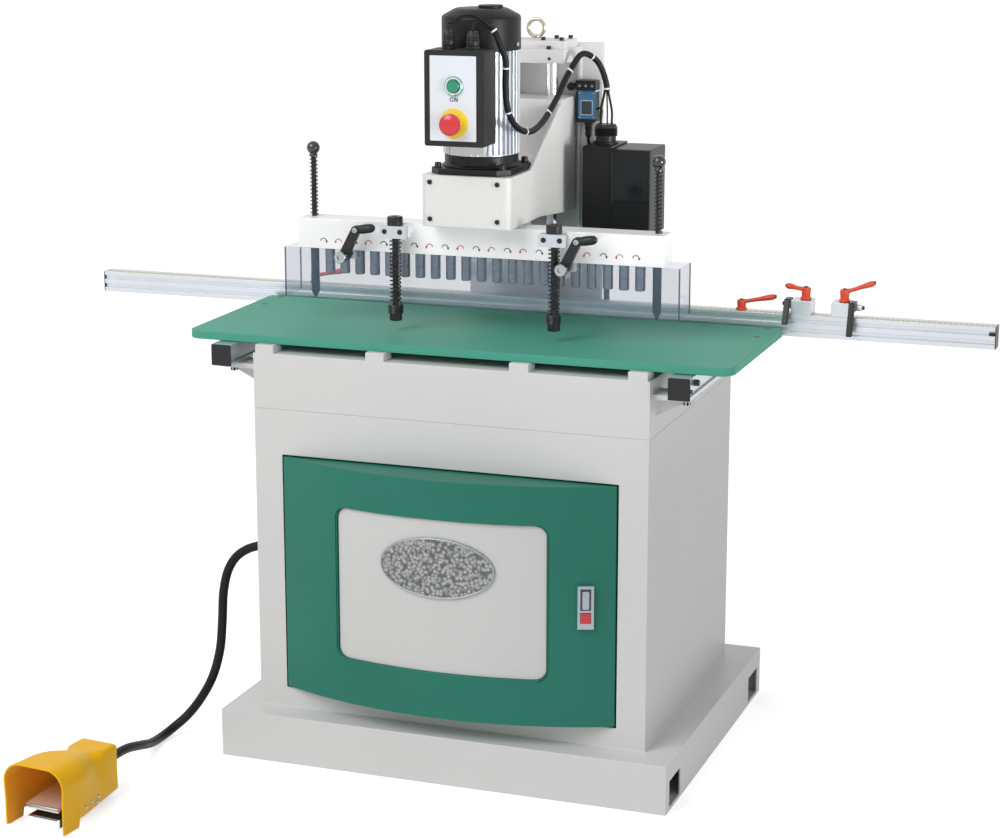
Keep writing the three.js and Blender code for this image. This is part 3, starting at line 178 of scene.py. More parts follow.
# Name, slot, colour, roughness, metal, grain's scale, bump, and how much the colour varies
PAINT = surface("grey_paint", "paint", (216, 216, 215), 0.42, 0.0, 420, 0.05, 0.012)
CASE = surface("case_paint", "case_paint", (224, 223, 221), 0.38, 0.0, 260, 0.09, 0.015)
DOOR = surface("door_green", "door_paint", (33, 116, 98), 0.40, 0.0, 420, 0.07, 0.04, IOR=1.35)
TABLE = surface("table_green", "table_paint", (76, 158, 136), 0.50, 0.0, 300, 0.06, 0.035, IOR=1.3)
BRUSHED = surface("brushed_aluminium", "aluminium", (206, 211, 216), 0.30, 0.75, 90, 0.06, 0.03,
                  stretch=(0.06, 9, 9))
MACHINED = surface("machined_aluminium", "aluminium", (248, 248, 249), 0.36, 0.12, 120, 0.03, 0.015,
                   stretch=(0.08, 8, 8))
CAST = surface("cast_aluminium", "cast_aluminium", (200, 205, 211), 0.34, 0.7, 160, 0.04, 0.04,
               stretch=(9, 9, 0.08))
BLOCK = surface("clamp_steel", "aluminium", (196, 202, 207), 0.34, 0.35, 420, 0.05, 0.03)
CHUCK = surface("chuck_steel", "steel", (112, 119, 127), 0.17, 1.0, 220, 0.04, 0.08, stretch=(1, 1, 9))
CHROME = surface("chrome", "chrome", (232, 234, 236), 0.10, 1.0, 200, 0.01, 0.02, spread=0.03)
STEEL = surface("turned_steel", "steel", (158, 162, 166), 0.20, 1.0, 220, 0.04, 0.06, stretch=(1, 1, 9))
TREAD = surface("treadle_steel", "steel", (226, 214, 204), 0.34, 0.40, 160, 0.09, 0.05,
                stretch=(0.2, 6, 6))
ZINC = surface("zinc_plate", "chrome", (196, 190, 168), 0.28, 0.9, 90, 0.04, 0.07)
OXIDE = surface("black_oxide", "black_steel", (27, 28, 31), 0.34, 0.0, 320, 0.05, 0.12, IOR=1.4)
BLACK = surface("black_plastic", "black_plastic", (30, 31, 33), 0.38, 0.0, 650, 0.16, 0.08, IOR=1.38)
BOX = surface("box_plastic", "black_plastic", (40, 41, 41), 0.46, 0.0, 700, 0.2, 0.05, IOR=1.3)
GLOSS = surface("black_gloss", "black_plastic", (20, 21, 22), 0.14, 0.0, 120, 0.02, 0.1, Coat_Weight=0.6)
SHEET = surface("box_black", "black_plastic", (26, 27, 28), 0.36, 0.0, 300, 0.06, 0.06, IOR=1.3)
COVER = surface("fan_cover_black", "black_plastic", (20, 21, 23), 0.42, 0.0, 500, 0.12, 0.06, IOR=1.3)
RUBBER = surface("rubber", "black_rubber", (17, 18, 18), 0.46, 0.0, 380, 0.10, 0.1, IOR=1.3)
RED = surface("red_button", "red_plastic", (206, 36, 48), 0.26, 0.0, 120, 0.02, 0.03, Coat_Weight=0.3)
ORANGE = surface("lever_orange", "orange_plastic", (226, 72, 38), 0.34, 0.0, 420, 0.08, 0.04)
GREEN = surface("green_button", "green_plastic", (24, 140, 104), 0.22, 0.0, 120, 0.02, 0.04,
                Coat_Weight=0.4)
BEZEL = surface("bezel_green", "green_plastic", (116, 172, 158), 0.24, 0.35, 120, 0.02, 0.05)
YELLOW = surface("pedal_yellow", "yellow_plastic", (250, 190, 12), 0.44, 0.0, 420, 0.10, 0.03, IOR=1.3)
# Painted light: the inside of the pedal hood is brighter and more orange than its yellow plastic,
# standing for light coming through the thin wall.
HOOD_GLOW_ORANGE = surface("pedal_hood_painted_glow", "yellow_plastic", (255, 176, 40), 0.6, 0.0, 420, 0.1, 0.06)
DISC = surface("disc_yellow", "yellow_plastic", (232, 206, 60), 0.35, 0.0, 200, 0.02, 0.02)
PLATE = surface("white_plate", "white_plate", (222, 228, 234), 0.30, 0.0, 120, 0.01, 0.01)
INSET = surface("inset_white", "paint", (210, 210, 209), 0.40, 0.0, 420, 0.04, 0.012)
BLUE = surface("switch_blue", "blue_plastic", (62, 122, 164), 0.34, 0.0, 300, 0.05, 0.05)
TIE = surface("white_tie", "white_plate", (226, 228, 228), 0.4, 0.0, 300, 0.03, 0.03)
LATCH = surface("latch_grey", "chrome", (158, 164, 170), 0.3, 0.75, 200, 0.05, 0.06)
# Painted shade and print: a darkened copy of the latch grey, for the shade in the latch's recess and for
# the limit switch's label.
DARK = surface("recess_shade_and_label_grey", "black_steel", (64, 70, 76), 0.45, 0.4, 300, 0.05, 0.1)
SMOKE = surface("smoked_window", "smoked_window", (22, 28, 31), 0.12, 0.0, 60, 0.01, 0.15, IOR=1.3)
GLASS = surface("clear_guard", "clear_guard", (128, 148, 172), 0.06, 0.0, 60, 0.004, 0.04, Alpha=0.15)
# Painted shade: a darker, less clear blue for the dark lines that the guard's corners show where light
# bends through the sheet.
GUARD_CORNER_SHADE = surface("guard_corner_shade", "clear_guard", (64, 84, 112), 0.12, 0.0, 60, 0.004, 0.05, Alpha=0.72)
INK = surface("ink_black", "black_plastic", (34, 34, 36), 0.5, 0.0, 200, 0.01, 0.05)
INK_RED = surface("ink_red", "red_plastic", (196, 40, 44), 0.5, 0.0, 200, 0.01, 0.05)


def make_pewter():
    """Pewter with a fine hammered relief, dark in its hollows."""
    made = surface("pewter", "pewter", (150, 152, 150), 0.3, 0.85, 90, 0.2, 0.1)
    tree = made.node_tree
    place = node_of(tree, "TexCoord").outputs["Object"]
    cells = node_of(tree, "TexVoronoi", Scale=150.0, Vector=place).outputs["Distance"]
    tint = ramp_of(tree, cells, ((0.05, linear(176, 178, 176)), (0.75, linear(92, 94, 94))))
    relief = node_of(tree, "Bump", Strength=0.55, Distance=0.0015, invert=True, Height=cells)
    fill(tree, tree.nodes["Principled BSDF"],
         {"Base_Color": tint, "Normal": relief.outputs["Normal"]})
    return made


def make_scale():
    """A pale yellow tape with a tick at each centimetre and a finer one at each millimetre."""
    made = surface("scale_tape", "scale_tape", (214, 210, 178), 0.4, 0.0, 200, 0.02, 0.02)
    tree = made.node_tree
    place = node_of(tree, "TexCoord").outputs["Object"]
    entry = tree.nodes["Principled BSDF"].inputs["Base Color"]
    base = entry.links[0].from_socket
    for scale, width, depth in ((10.0, 0.04, 0.85), (100.0, 0.2, 0.25)):
        waves = node_of(tree, "TexWave", Scale=scale * pi, Vector=place).outputs["Fac"]
        tick = ramp_of(tree, waves, ((width / 2, (1, 1, 1)), (width, (0, 0, 0))))
        share = node_of(tree, "Math", operation="MULTIPLY", in0=tick, in1=depth).outputs[0]
        mix = node_of(tree, "Mix", data_type="RGBA", Factor=share, A=base, B=(0.05, 0.05, 0.05, 1))
        base = mix.outputs["Result"]
    tree.links.new(base, entry)
    return made


PEWTER = make_pewter()
TAPE = make_scale()


# Shapes: a list of points and a list of faces
def box(lo, hi):
    points = [(x, y, z) for z in (lo[2], hi[2]) for y in (lo[1], hi[1]) for x in (lo[0], hi[0])]
    faces = [(0, 2, 3, 1), (4, 5, 7, 6), (0, 1, 5, 4), (2, 6, 7, 3), (0, 4, 6, 2), (1, 3, 7, 5)]
    return points, faces


def rings(loops, closed=False):
    """A skin through equal loops of points, with flat ends unless the last joins the first."""
    count = len(loops[0])
    points = [p for loop in loops for p in loop]
    faces = []
    for s in range(len(loops) if closed else len(loops) - 1):
        a, b = s * count, (s + 1) % len(loops) * count
        for i in range(count):
            j = (i + 1) % count
            faces.append((a + i, a + j, b + j, b + i))
    if not closed:
        faces.append(tuple(reversed(range(count))))
        faces.append(tuple(range(len(points) - count, len(points))))
    return points, faces


def polar(radius, angle, centre=(0, 0)):
    return centre[0] + radius * cos(angle), centre[1] + radius * sin(angle)


def arc(centre, radius, start, turn, steps, offset=0.0):
    """Places along a part of a circle. start and turn are in degrees, offset in radians."""
    return [polar(radius, offset + radians(start + turn * i / steps), centre)
            for i in range(steps + 1)]


def oval(centre, half_u, half_v, steps):
    return [(centre[0] + half_u * cos(TAU * i / steps),
             centre[1] + half_v * sin(TAU * i / steps)) for i in range(steps)]


def circle(radius, sides):
    return oval((0, 0), radius, radius, sides)


def basis(axis):
    """Two directions square to an axis, turned so that all three are right-handed."""
    w = Vector(axis).normalized()
    u = (X if abs(w.x) < 0.9 else Y).cross(w).normalized()
    u = w.cross(u).normalized() if abs(w.z) > 0.9 else u
    return u, w.cross(u), w


def lathe(profile, at, axis=Z, sides=32):
    """A profile of (radius, height) pairs turned round an axis through a place."""
    u, v, w = basis(axis)
    at = Vector(at)
    loops = []
    for radius, height in profile:
        ring = circle(max(radius, 0.01), sides)
        loops.append([tuple(at + u * a + v * b + w * height) for a, b in ring])
    return rings(loops)


def ring_shape(major, minor, at, axis, sides, around):
    """A torus round an axis."""
    u, v, w = basis(axis)
    at = Vector(at)
    loops = []
    for i in range(sides):
        turn = TAU * i / sides
        out = u * cos(turn) + v * sin(turn)
        loops.append([tuple(at + out * (major + a) + w * b) for a, b in circle(minor, around)])
    return rings(loops, closed=True)


PLANES = {"xy": (X, Y, Z), "xz": (X, Z, -Y), "yz": (Y, Z, X)}


def prism(outline, plane, low, high):
    """An outline in a named plane, between two places on the third axis."""
    u, v, w = PLANES[plane]
    if plane == "xz":
        low, high = -high, -low
    loops = [[tuple(u * a + v * b + w * c) for a, b in outline] for c in (low, high)]
    return rings(loops)


def rounded(u0, u1, v0, v1, radius, steps=6):
    """A rectangle's outline with round corners."""
    corners = ((u1 - radius, v0 + radius, -90), (u1 - radius, v1 - radius, 0),
               (u0 + radius, v1 - radius, 90), (u0 + radius, v0 + radius, 180))
    return [p for cu, cv, start in corners for p in arc((cu, cv), radius, start, 90, steps)]


def plate(u0, u1, v0, v1, radius, low, high, plane="xz"):
    """A slab with round corners, between two places on the third axis."""
    return prism(rounded(u0, u1, v0, v1, radius), plane, low, high)


CAPSULE_STEPS = 9


def capsule(a, b, ra, rb):
    """A stadium round two places, with a radius at each."""
    turn = atan2(b[1] - a[1], b[0] - a[0])
    return arc(b, rb, -90, 180, CAPSULE_STEPS, turn) + arc(a, ra, 90, 180, CAPSULE_STEPS, turn)


def way_at(path, i):
    """The direction of a path at its point i."""
    return (path[min(i + 1, len(path) - 1)] - path[max(i - 1, 0)]).normalized()


def ribbed(outer, inner, low, pitch, count):
    """A profile of ribs, from an outer radius to an inner one half a pitch above it."""
    pair = ((outer, low), (inner, low + pitch / 2))
    return [(r, h + pitch * k) for k in range(count) for r, h in pair]


def sweep(path, radius, sides):
    """A round tube along points, its radius a number or one for each point."""
    points = [Vector(p) for p in path]
    radii = radius if isinstance(radius, (list, tuple)) else [radius] * len(points)
    side = None
    loops = []
    for i, (point, r) in enumerate(zip(points, radii)):
        along = way_at(points, i)
        if side is None:
            side = along.cross(Z if abs(along.z) < 0.9 else X).normalized()
        side = (side - along * side.dot(along)).normalized()
        other = along.cross(side)
        loops.append([tuple(point + side * a + other * b) for a, b in circle(r, sides)])
    return rings(loops)


def catmull(points, steps):
    """Places along a centripetal Catmull-Rom curve, evenly spaced in its parameter."""
    points = [Vector(p) for p in points]
    first = points[0] * 2 - points[1]
    last = points[-1] * 2 - points[-2]
    padded = [first, *points, last]
    out = []
    spans = len(points) - 1
    for k in range(steps + 1):
        t = k / steps * spans
        i = min(int(t), spans - 1)
        w = t - i
        p0, p1, p2, p3 = padded[i:i + 4]
        d0, d1, d2 = (((b - a).length_squared ** 0.25) or 1.0
                      for a, b in ((p0, p1), (p1, p2), (p2, p3)))
        m1 = ((p1 - p0) / d0 - (p2 - p0) / (d0 + d1) + (p2 - p1) / d1) * d1
        m2 = ((p2 - p1) / d1 - (p3 - p1) / (d1 + d2) + (p3 - p2) / d2) * d1
        out.append(p1 * (2 * w**3 - 3 * w**2 + 1) + m1 * (w**3 - 2 * w**2 + w)
                   + p2 * (-2 * w**3 + 3 * w**2) + m2 * (w**3 - w**2))
    return out


SCREW_SIDES = 24


def screw(at, axis, radius, height, hex_share=0.5):
    """A socket-head screw: a straight head with a chamfer and a six-sided socket."""
    deep = height * 0.55
    u, v, w = basis(axis)
    at = Vector(at)
    outer = [(radius, 0), (radius, height * 0.85), (radius * 0.88, height)]
    loops = [[tuple(at + u * a + v * b + w * h) for a, b in circle(r, SCREW_SIDES)]
             for r, h in outer]
    hexagon = []
    for i in range(SCREW_SIDES):
        turn = TAU * i / SCREW_SIDES
        local = (turn + TAU / 12) % (TAU / 6) - TAU / 12
        hexagon.append((radius * hex_share * cos(TAU / 12) / cos(local), turn))
    for h in (height, height - deep):
        loops.append([tuple(at + (u * cos(t) + v * sin(t)) * r + w * h)
                      for r, t in hexagon])
    return rings(loops)


# Pieces
def new_object(name, mesh, material, body, node):
    """A mesh in the scene, with its finish, its body and the CAD node that it stands for."""
    made = placed(name, mesh)
    mesh.materials.append(material)
    if body:
        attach(made, body)
    if node:
        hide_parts(node)
    return made


SHARP_ANGLE = 35
BEVEL_ANGLE = 30


def finish_mesh(bm, name, angle=SHARP_ANGLE):
    bmesh.ops.recalc_face_normals(bm, faces=bm.faces)
    mesh = bpy.data.meshes.new(name)
    bm.to_mesh(mesh)
    bm.free()
    mesh.shade_smooth()
    mesh.set_sharp_from_angle(angle=radians(angle))
    return mesh


def bevel_edges(bm, width, segments, least, choose=None):
    """Rounds the edges that turn by more than the bevel angle and are long enough."""
    bm.normal_update()
    found = []
    for edge in bm.edges:
        if len(edge.link_faces) != 2 or edge.calc_length() < least:
            continue
        if edge.calc_face_angle(0) > radians(BEVEL_ANGLE) and (choose is None or choose(edge)):
            found.append(edge)
    if found:
        bmesh.ops.bevel(bm, geom=found, offset=width, offset_type="OFFSET", segments=segments,
                        profile=0.5, affect="EDGES", clamp_overlap=False)


def weigh_normals(made):
    made.modifiers.new("normals", "WEIGHTED_NORMAL").keep_sharp = True


def piece(name, shapes, material, body, bevel=0.0, segments=2, angle=SHARP_ANGLE, node=None,
          place=None):
    """A named piece made of shapes, with its sharp edges rounded by bevel millimetres.

    The shapes are moved by the matrix place where there is one.
    """
    bm = bmesh.new()
    for points, faces in shapes:
        if place is not None:
            points = [place @ Vector(p) for p in points]
        verts = [bm.verts.new(Vector(p) * MM) for p in points]
        for face in faces:
            bm.faces.new([verts[i] for i in face])
    bmesh.ops.remove_doubles(bm, verts=bm.verts, dist=1e-7)
    if bevel:
        bevel_edges(bm, bevel * MM, segments, bevel * 2.2 * MM)
    made = new_object(name, finish_mesh(bm, name, angle), material, body, node)
    if bevel:
        weigh_normals(made)
    return made


FLAT_ANGLE = radians(0.6)


def refined(node, material, bevel=0.8, segments=2, least=6.0, wide=(), convex=False):
    """The CAD solid with its flat faces merged and its edges rounded, standing for its node.

    A flat rim that goes right round an opening is cut into convex faces when convex is true.
    """
    source = frame["nodes"][node]
    bm = bmesh.new()
    bm.from_mesh(source.data)
    bmesh.ops.remove_doubles(bm, verts=bm.verts, dist=2e-6)
    bmesh.ops.dissolve_limit(bm, angle_limit=FLAT_ANGLE, verts=bm.verts, edges=bm.edges)
    if convex:
        bmesh.ops.connect_verts_concave(bm, faces=bm.faces)
    for choose, width, steps in wide:
        bevel_edges(bm, width * MM, steps, 4 * MM, choose)
    if bevel:
        bevel_edges(bm, bevel * MM, segments, least * MM)
    name = node + "_shell"
    weigh_normals(new_object(name, finish_mesh(bm, name), material, source["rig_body"], node))


# The pedal's hose, a free cord, with the route of the solid
def routed(start, start_way, route, end, end_way, radius):
    start_out = [a + 2 * radius * b for a, b in zip(start, start_way)]
    end_out = [a + 2 * radius * b for a, b in zip(end, end_way)]
    return [start, start_out, *route, end_out, end]


PEDAL = Matrix.Translation((-593, -629.3, 0)) @ Matrix.Rotation(radians(-6.15), 4, "Z")
HOSE_ROUTE = [
    (-448, -205, 391), (-471, -206, 382), (-495, -209, 364), (-512, -213, 335),
    (-519, -222, 293), (-516, -238, 234), (-516, -252, 178), (-529, -262, 122),
    (-553, -272, 74), (-577, -286, 40), (-600, -308, 17), (-608, -345, 9.8),
    (-603, -400, 17), (-594, -460, 35), (-592, -525, 51),
]
HOSE_RADIUS = 9.25
HOSE_Y, HOSE_Z = -205, 396
GLAND_GAP, GLAND_Z = 0.3, 57
hose_start = (-414.3, HOSE_Y, HOSE_Z)
hose_end = tuple(PEDAL @ Vector((0, GLAND_GAP, GLAND_Z)))
hose_away = tuple(PEDAL.to_3x3() @ Y)
hose_path = catmull(
    routed(hose_start, (-1, 0, 0), HOSE_ROUTE, hose_end, hose_away, HOSE_RADIUS), 132)
hose = piece("foot_hose", [sweep(hose_path, HOSE_RADIUS, 20)], RUBBER, STILL, node="pedal_hose")

# Base, cabinet and top frame
refined("cabinet", PAINT, 1.2)
refined("top_frame", PAINT, 1.2)
refined("table", TABLE, 1.6, 3)
refined("column", PAINT, 1.0)
RAIL_X, RAIL_HALF, RAIL_LOW, RAIL_TOP = 459, 21, 788, 830
for side, name in SIDES:
    refined(f"rail_{name}", BRUSHED, 0.8)
    x = RAIL_X * side
    for end, y0, y1 in (("front", -326.4, -325.1), ("back", 220.1, 221.4)):
        piece(f"rail_cap_{name}_{end}", [
            plate(x - RAIL_HALF, x + RAIL_HALF, RAIL_LOW, RAIL_TOP, 2.5, y0, y1),
        ], BLACK, STILL, 0.5)
    piece(f"rail_bolts_{name}", [
        lathe([(6.6, 768.4), (7.6, 769.4), (7.6, 777.9)], (x, y, 0), Z, 6) for y in (-270, 150)
    ], RUBBER, STILL, 0.3)
piece("rail_lock_screw", [
    lathe([(3, 479), (3, 481), *ribbed(6.2, 5.7, 481, 1.6, 5), (4.5, 490)], (0, -298, 818), X, 24),
    lathe([(4, 479.5), (4, 483)], (0, -322, 806), X, 16),
], OXIDE, STILL)

piece("table_screws", [
    lathe([(7.6, 846.6), (7.2, 847.25), (3.6, 847.25), (3.2, 846.9)], (x, y, 0), Z, 24)
    for x in (-520, 520) for y in (8, 93)
], OXIDE, STILL)
piece("hose_nut", [
    lathe([(15.6, -404), (15.6, -406), (19, -406.5), (19, -412.5), (15.6, -413.4)],
          (0, HOSE_Y, HOSE_Z), X, 6),
    lathe([(12.5, -413.2), (12.5, -419), (11, -424), (9.5, -425)], (0, HOSE_Y, HOSE_Z), X, 28),
], BLACK, STILL, 0.4)

# Door: green shell, white inset, pewter badge and its latch
DOOR_HALF, BOW, EDGE_Y = 339.0, 73.0, -309.0
BOW_RADIUS = (DOOR_HALF**2 + BOW**2) / (2 * BOW)
BOW_Y = EDGE_Y - BOW + BOW_RADIUS


def bowed(x, depth):
    """A place on the bow at x, at a depth behind its outer face."""
    angle = asin(x / BOW_RADIUS)
    radius = BOW_RADIUS - depth
    return radius * sin(angle), BOW_Y - radius * cos(angle)


refined("cabinet_door", DOOR, 1.5, 3, convex=True)
BOW_COLUMNS = 40


def bowed_plate(outline, near, far):
    """An outline in x and z, cut into columns, laid on the bow between two depths."""
    us = [p[0] for p in outline]
    lo, hi = min(us), max(us)

    def spans(u):
        hits = []
        for (a, b), (c, d) in zip(outline, outline[1:] + outline[:1]):
            if (a <= u <= c or c <= u <= a) and a != c:
                hits.append(b + (d - b) * (u - a) / (c - a))
        return min(hits), max(hits)

    loops = []
    for k in range(BOW_COLUMNS + 1):
        share = (1 - cos(pi * k / BOW_COLUMNS)) / 2
        u = min(max(lo + (hi - lo) * share, lo + 0.4), hi - 0.4)
        low, high = spans(u)
        (x0, y0), (x1, y1) = bowed(u, near), bowed(u, far)
        loops.append([(x0, y0, low), (x0, y0, high), (x1, y1, high), (x1, y1, low)])
    return rings(loops)


piece("door_inset", [bowed_plate(rounded(-207.4, 217.4, 232.6, 534.4, 21.5, 8), 5.2, 5.9)],
      INSET, "door")

BADGE = (5, 440)
piece("badge_plate", [bowed_plate(oval(BADGE, 113, 56.5, 72), 1.6, 2.2)], PEWTER, "door")


def badge_rim(radius):
    """A round tube along an oval on the bow."""
    path = []
    for u, v in oval(BADGE, 114.2, 57.7, 96):
        x, y = bowed(u, radius)
        path.append(Vector((x, y, v)))
    loops = []
    for i, point in enumerate(path):
        along = (path[(i + 1) % len(path)] - path[i - 1]).normalized()
        side = Y.cross(along).normalized()
        loops.append([tuple(point + side * a + Y * b) for a, b in circle(radius, 8)])
    return rings(loops, closed=True)


piece("badge_rim", [badge_rim(1.7)], LATCH, "door")

LATCH_X, LATCH_BACK = 287, -5.9
latch_turn = asin(LATCH_X / BOW_RADIUS)
LATCH_AT = (Matrix.Translation((LATCH_X, BOW_Y - BOW_RADIUS * cos(latch_turn), 0))
            @ Matrix.Rotation(latch_turn, 4, "Z"))
piece("latch_frame", [
    box((-15.5, -7.4, 337.6), (-10, LATCH_BACK, 422.4)),
    box((10, -7.4, 337.6), (15.5, LATCH_BACK, 422.4)),
    box((-15.5, -8.4, 416.5), (15.5, LATCH_BACK, 422.5)),
    box((-15.5, -7.6, 337.5), (15.5, LATCH_BACK, 349.3)),
    box((-10.2, -7.0, 369.8), (10.2, LATCH_BACK, 374.5)),
], LATCH, "door", 0.5, place=LATCH_AT)
piece("latch_grip", [
    plate(-6.4, 6.4, 377, 412, 3, -8.6, -6.0),
    plate(-3.4, 3.4, 381, 404, 2, -9.1, -8.4),
], LATCH, "door", 0.6, place=LATCH_AT)
# Painted shade: a dark plate at the back of the recess round the grip.
piece("latch_recess", [plate(-9.9, 9.9, 374.6, 416.4, 2, -6.6, -6.05)], DARK, "door", place=LATCH_AT)
piece("latch_push", [
    plate(-9.4, 9.4, 350.1, 368.9, 2, -8.4, 1.5),
    plate(-6.2, 6.2, 353.4, 365.6, 2, -9.0, -8.2),
], RED, "latch", 0.6, node="latch_button", place=LATCH_AT)

# Column: chrome guide rods, eye bolt, cap screws, cylinder and limit switch
ROD_X, ROD_Y, BRACKET_Z = 48, 180, 945.1
for side, name in SIDES:
    foot = (ROD_X * side, ROD_Y, 0)
    piece(f"guide_rod_{name}", [lathe([(11.68, BRACKET_Z), (11.68, 1348.9)], foot, Z, 40)],
          CHROME, STILL)
    piece(f"rod_collar_{name}", [
        lathe([(16, BRACKET_Z), (17, 946), (17, 953), (16, 954), (12, 954)], foot, Z, 32),
    ], OXIDE, STILL)
piece("cylinder_barrel", [
    lathe([(32, BRACKET_Z), (32, 951), (30, 952), (31.8, 953), (31.8, 991), (33, 991.5),
           (33, 998.2), (12, 998.4)], (0, 160, 0), Z, 44),
], CAST, STILL)
EYE_X, EYE_Y = 12, 184.5
piece("lifting_eye", [
    ring_shape(17, 3.8, (EYE_X, EYE_Y, 1412), Y, 44, 16),
    lathe([(7.4, 1392.1), (8.4, 1393), (8.4, 1395.5), (5, 1397), (4.6, 1399)],
          (EYE_X, EYE_Y, 0), Z, 28),
], ZINC, STILL)
CAP_TOP, SHELF_TOP = 1392.1, 1376.1
cap_screws = [(x, y, CAP_TOP) for x, y in ((-76, 186), (46, 128), (58, 176), (84, 128), (84, 186),
                                           (-84, 128))]
cap_screws += [(64, 108, SHELF_TOP), (-64, 108, SHELF_TOP)]
piece("cap_screws", [screw(at, Z, 4.6, 6.5) for at in cap_screws], OXIDE, STILL)
# Painted shade: a flat black disc on the shelf's face stands for the dark inside of a small hole.
piece("shelf_painted_hole", [lathe([(3.2, 99.4), (3.2, 99.95)], (67.7, 0, 1358), Y, 20)], INK, STILL)
piece("switch_body", [
    plate(94.6, 136.4, 1224.6, 1287.6, 3, 189.4, 214.6),
    plate(94.4, 136.6, 1288.2, 1308.6, 2, 187.6, 214.6),
], BLACK, STILL, 0.8)
piece("switch_cover", [plate(100.5, 135.9, 1232, 1287, 3, 187.4, 189.6)], BLUE, STILL, 0.7)
piece("switch_rim", [plate(105.8, 130.7, 1239.8, 1269.2, 1, 187.0, 187.5)], PLATE, STILL)
piece("switch_label", [plate(107, 129.5, 1241, 1268, 1, 186.8, 187.1)], DARK, STILL)
cover_screws = [screw((x, 187.5, z), -Y, 2.2, 1.2) for x in (103.4, 133) for z in (1235, 1284)]
head_screws = [screw((x, 187.7, 1298), -Y, 2.6, 1.4) for x in (103, 116, 129)]
piece("switch_screws", cover_screws + head_screws, STEEL, STILL)
ROLLER, ROLLER_AT = (82, 1295), (82, 0, 1295)
SWITCH_X, SWITCH_Y = 118, 202
piece("switch_roller", [
    lathe([(3, -202.9), (8.2, -202.4), (8.2, -194.3), (3, -193.8)],
          ROLLER_AT, -Y, 28),
    lathe([(2.6, -194), (2.6, -191)], ROLLER_AT, -Y, 16),
    prism(capsule(ROLLER, (97, 1298), 4.6, 5.4), "xz", 202.3, 206.7),
], OXIDE, STILL, 0.4)
piece("switch_gland", [
    lathe([(9, 1224.5), (9, 1219), (7.4, 1218.5), (7.4, 1210), (5, 1204)],
          (SWITCH_X, SWITCH_Y, 0), Z, 8),
    lathe([(6.4, 1205), (6.4, 1198), (4, 1194)], (SWITCH_X, SWITCH_Y, 0), Z, 20),
], BLACK, STILL, 0.3)
switch_lead = catmull([
    (SWITCH_X, SWITCH_Y, 1200), (SWITCH_X, SWITCH_Y, 1186), (122, 206, 1168), (126, 213, 1150),
    (130, 222, 1130), (136, 226, 1100), (146, 226, 1040)], 40)
side_lead = catmull([(136, 200, 1250), (142, 198, 1254), (150, 188, 1252), (153, 176, 1240),
                     (154, 168, 1226)], 28)
piece("switch_leads", [sweep(switch_lead, 3, 12), sweep(side_lead, 2, 10)], RUBBER, STILL)

# Electrical box with a smoked window
piece("box_body", [
    plate(136, 196.5, 1012, 1188, 3, 106.2, 214.6),
    plate(197.5, 275, 1012, 1184, 3, 112, 214.6),
    plate(197.2, 274.6, 1012.4, 1183.6, 3, 105.8, 113.2),
], SHEET, STILL, 1.4, 3, node="electrical_box")
piece("box_window", [plate(200, 271, 1078, 1172, 4, 105.2, 106.2)], SMOKE, STILL, 0.4)
piece("box_hinge", [lathe([(2.2, 1076), (2.2, 1178)], (197, 104.8, 0), Z, 16)], SHEET, STILL)
BOX_GLAND = (168, 159.7)
piece("box_gland", [
    lathe([(25, 1188.2), (25, 1192), (20, 1193), (20, 1203), (23.4, 1204),
           *ribbed(23.4, 21.4, 1205, 3, 6), (21, 1224), (19, 1226.6), (10, 1227)],
          (*BOX_GLAND, 0), Z, 36),
], BLACK, STILL)
feed = catmull([(152, 206, 1016), (152, 206, 1004), (152, 206, 997), (149, 222, 960),
                (150, 227, 915), (152, 227, 860), (152, 227, 827), (152, 227, 815.4)], 60)
piece("feed_cable", [sweep(feed, 6, 16)], RUBBER, STILL)
piece("feed_gland", [
    lathe([(11, 815.3), (11, 822), (9, 823), (9, 829), (6.4, 832)], (152, 227, 0), Z, 8),
], BLACK, STILL, 0.3)


# Head: casting, cover plate, motor and control box
def case_corner(edge):
    """True for the upright edges at the front of the gear case."""
    start, end = (vertex.co for vertex in edge.verts)
    middle = (start + end) / 2
    upright = abs((start - end).normalized().z) > 0.95
    return upright and middle.y < -0.19 and abs(middle.x) > 0.08 and middle.z < 1.2


refined("head_casting", CASE, 2.2, 3, 8.0, wide=((case_corner, 11, 5),))
piece("case_cover", [plate(-79.5, 73, 1064, 1158.5, 2, -198.9, -197.9)], CASE, "head", 0.3)
piece("case_screws", [
    screw((x, -198.8, z), -Y, 4.6, 3.4) for x in (-71, 65) for z in (1147.7, 1077)
], OXIDE, "head")

SPINDLE_Y = -106
MOTOR = (0, SPINDLE_Y, 0)
BOLT_OUT = 65
octagon = [(-58, -187), (58, -187), (81, -164), (81, -48), (58, -25), (-58, -25), (-81, -48),
           (-81, -164)]
piece("motor_flange", [
    prism(octagon, "xy", 1160.5, 1172.5),
    lathe([(75, 1172), (75, 1175), (71, 1178), (71, 1195.5)], MOTOR, Z, 64),
], SHEET, "head", 1.5, 3)
bolts = [(BOLT_OUT * a, SPINDLE_Y + BOLT_OUT * b) for a in (-1, 1) for b in (-1, 1)]
washers = [lathe([(8.6, 1172.4), (8.6, 1174.2)], (x, y, 0), Z, 24) for x, y in bolts]
piece("flange_bolts", [screw((x, y, 1174), Z, 6.2, 8.5) for x, y in bolts] + washers, OXIDE, "head")


def finned(inner, outer, fins, low, high):
    """A round body with upright fins."""
    outline = []
    for i in range(fins):
        turn = TAU * i / fins
        for share, radius in ((0.0, inner), (0.22, inner), (0.34, outer - 0.6), (0.42, outer),
                              (0.58, outer), (0.66, outer - 0.6), (0.78, inner)):
            angle = turn + TAU * share / fins
            outline.append(polar(radius, angle, MOTOR))
    return prism(outline, "xy", low, high)


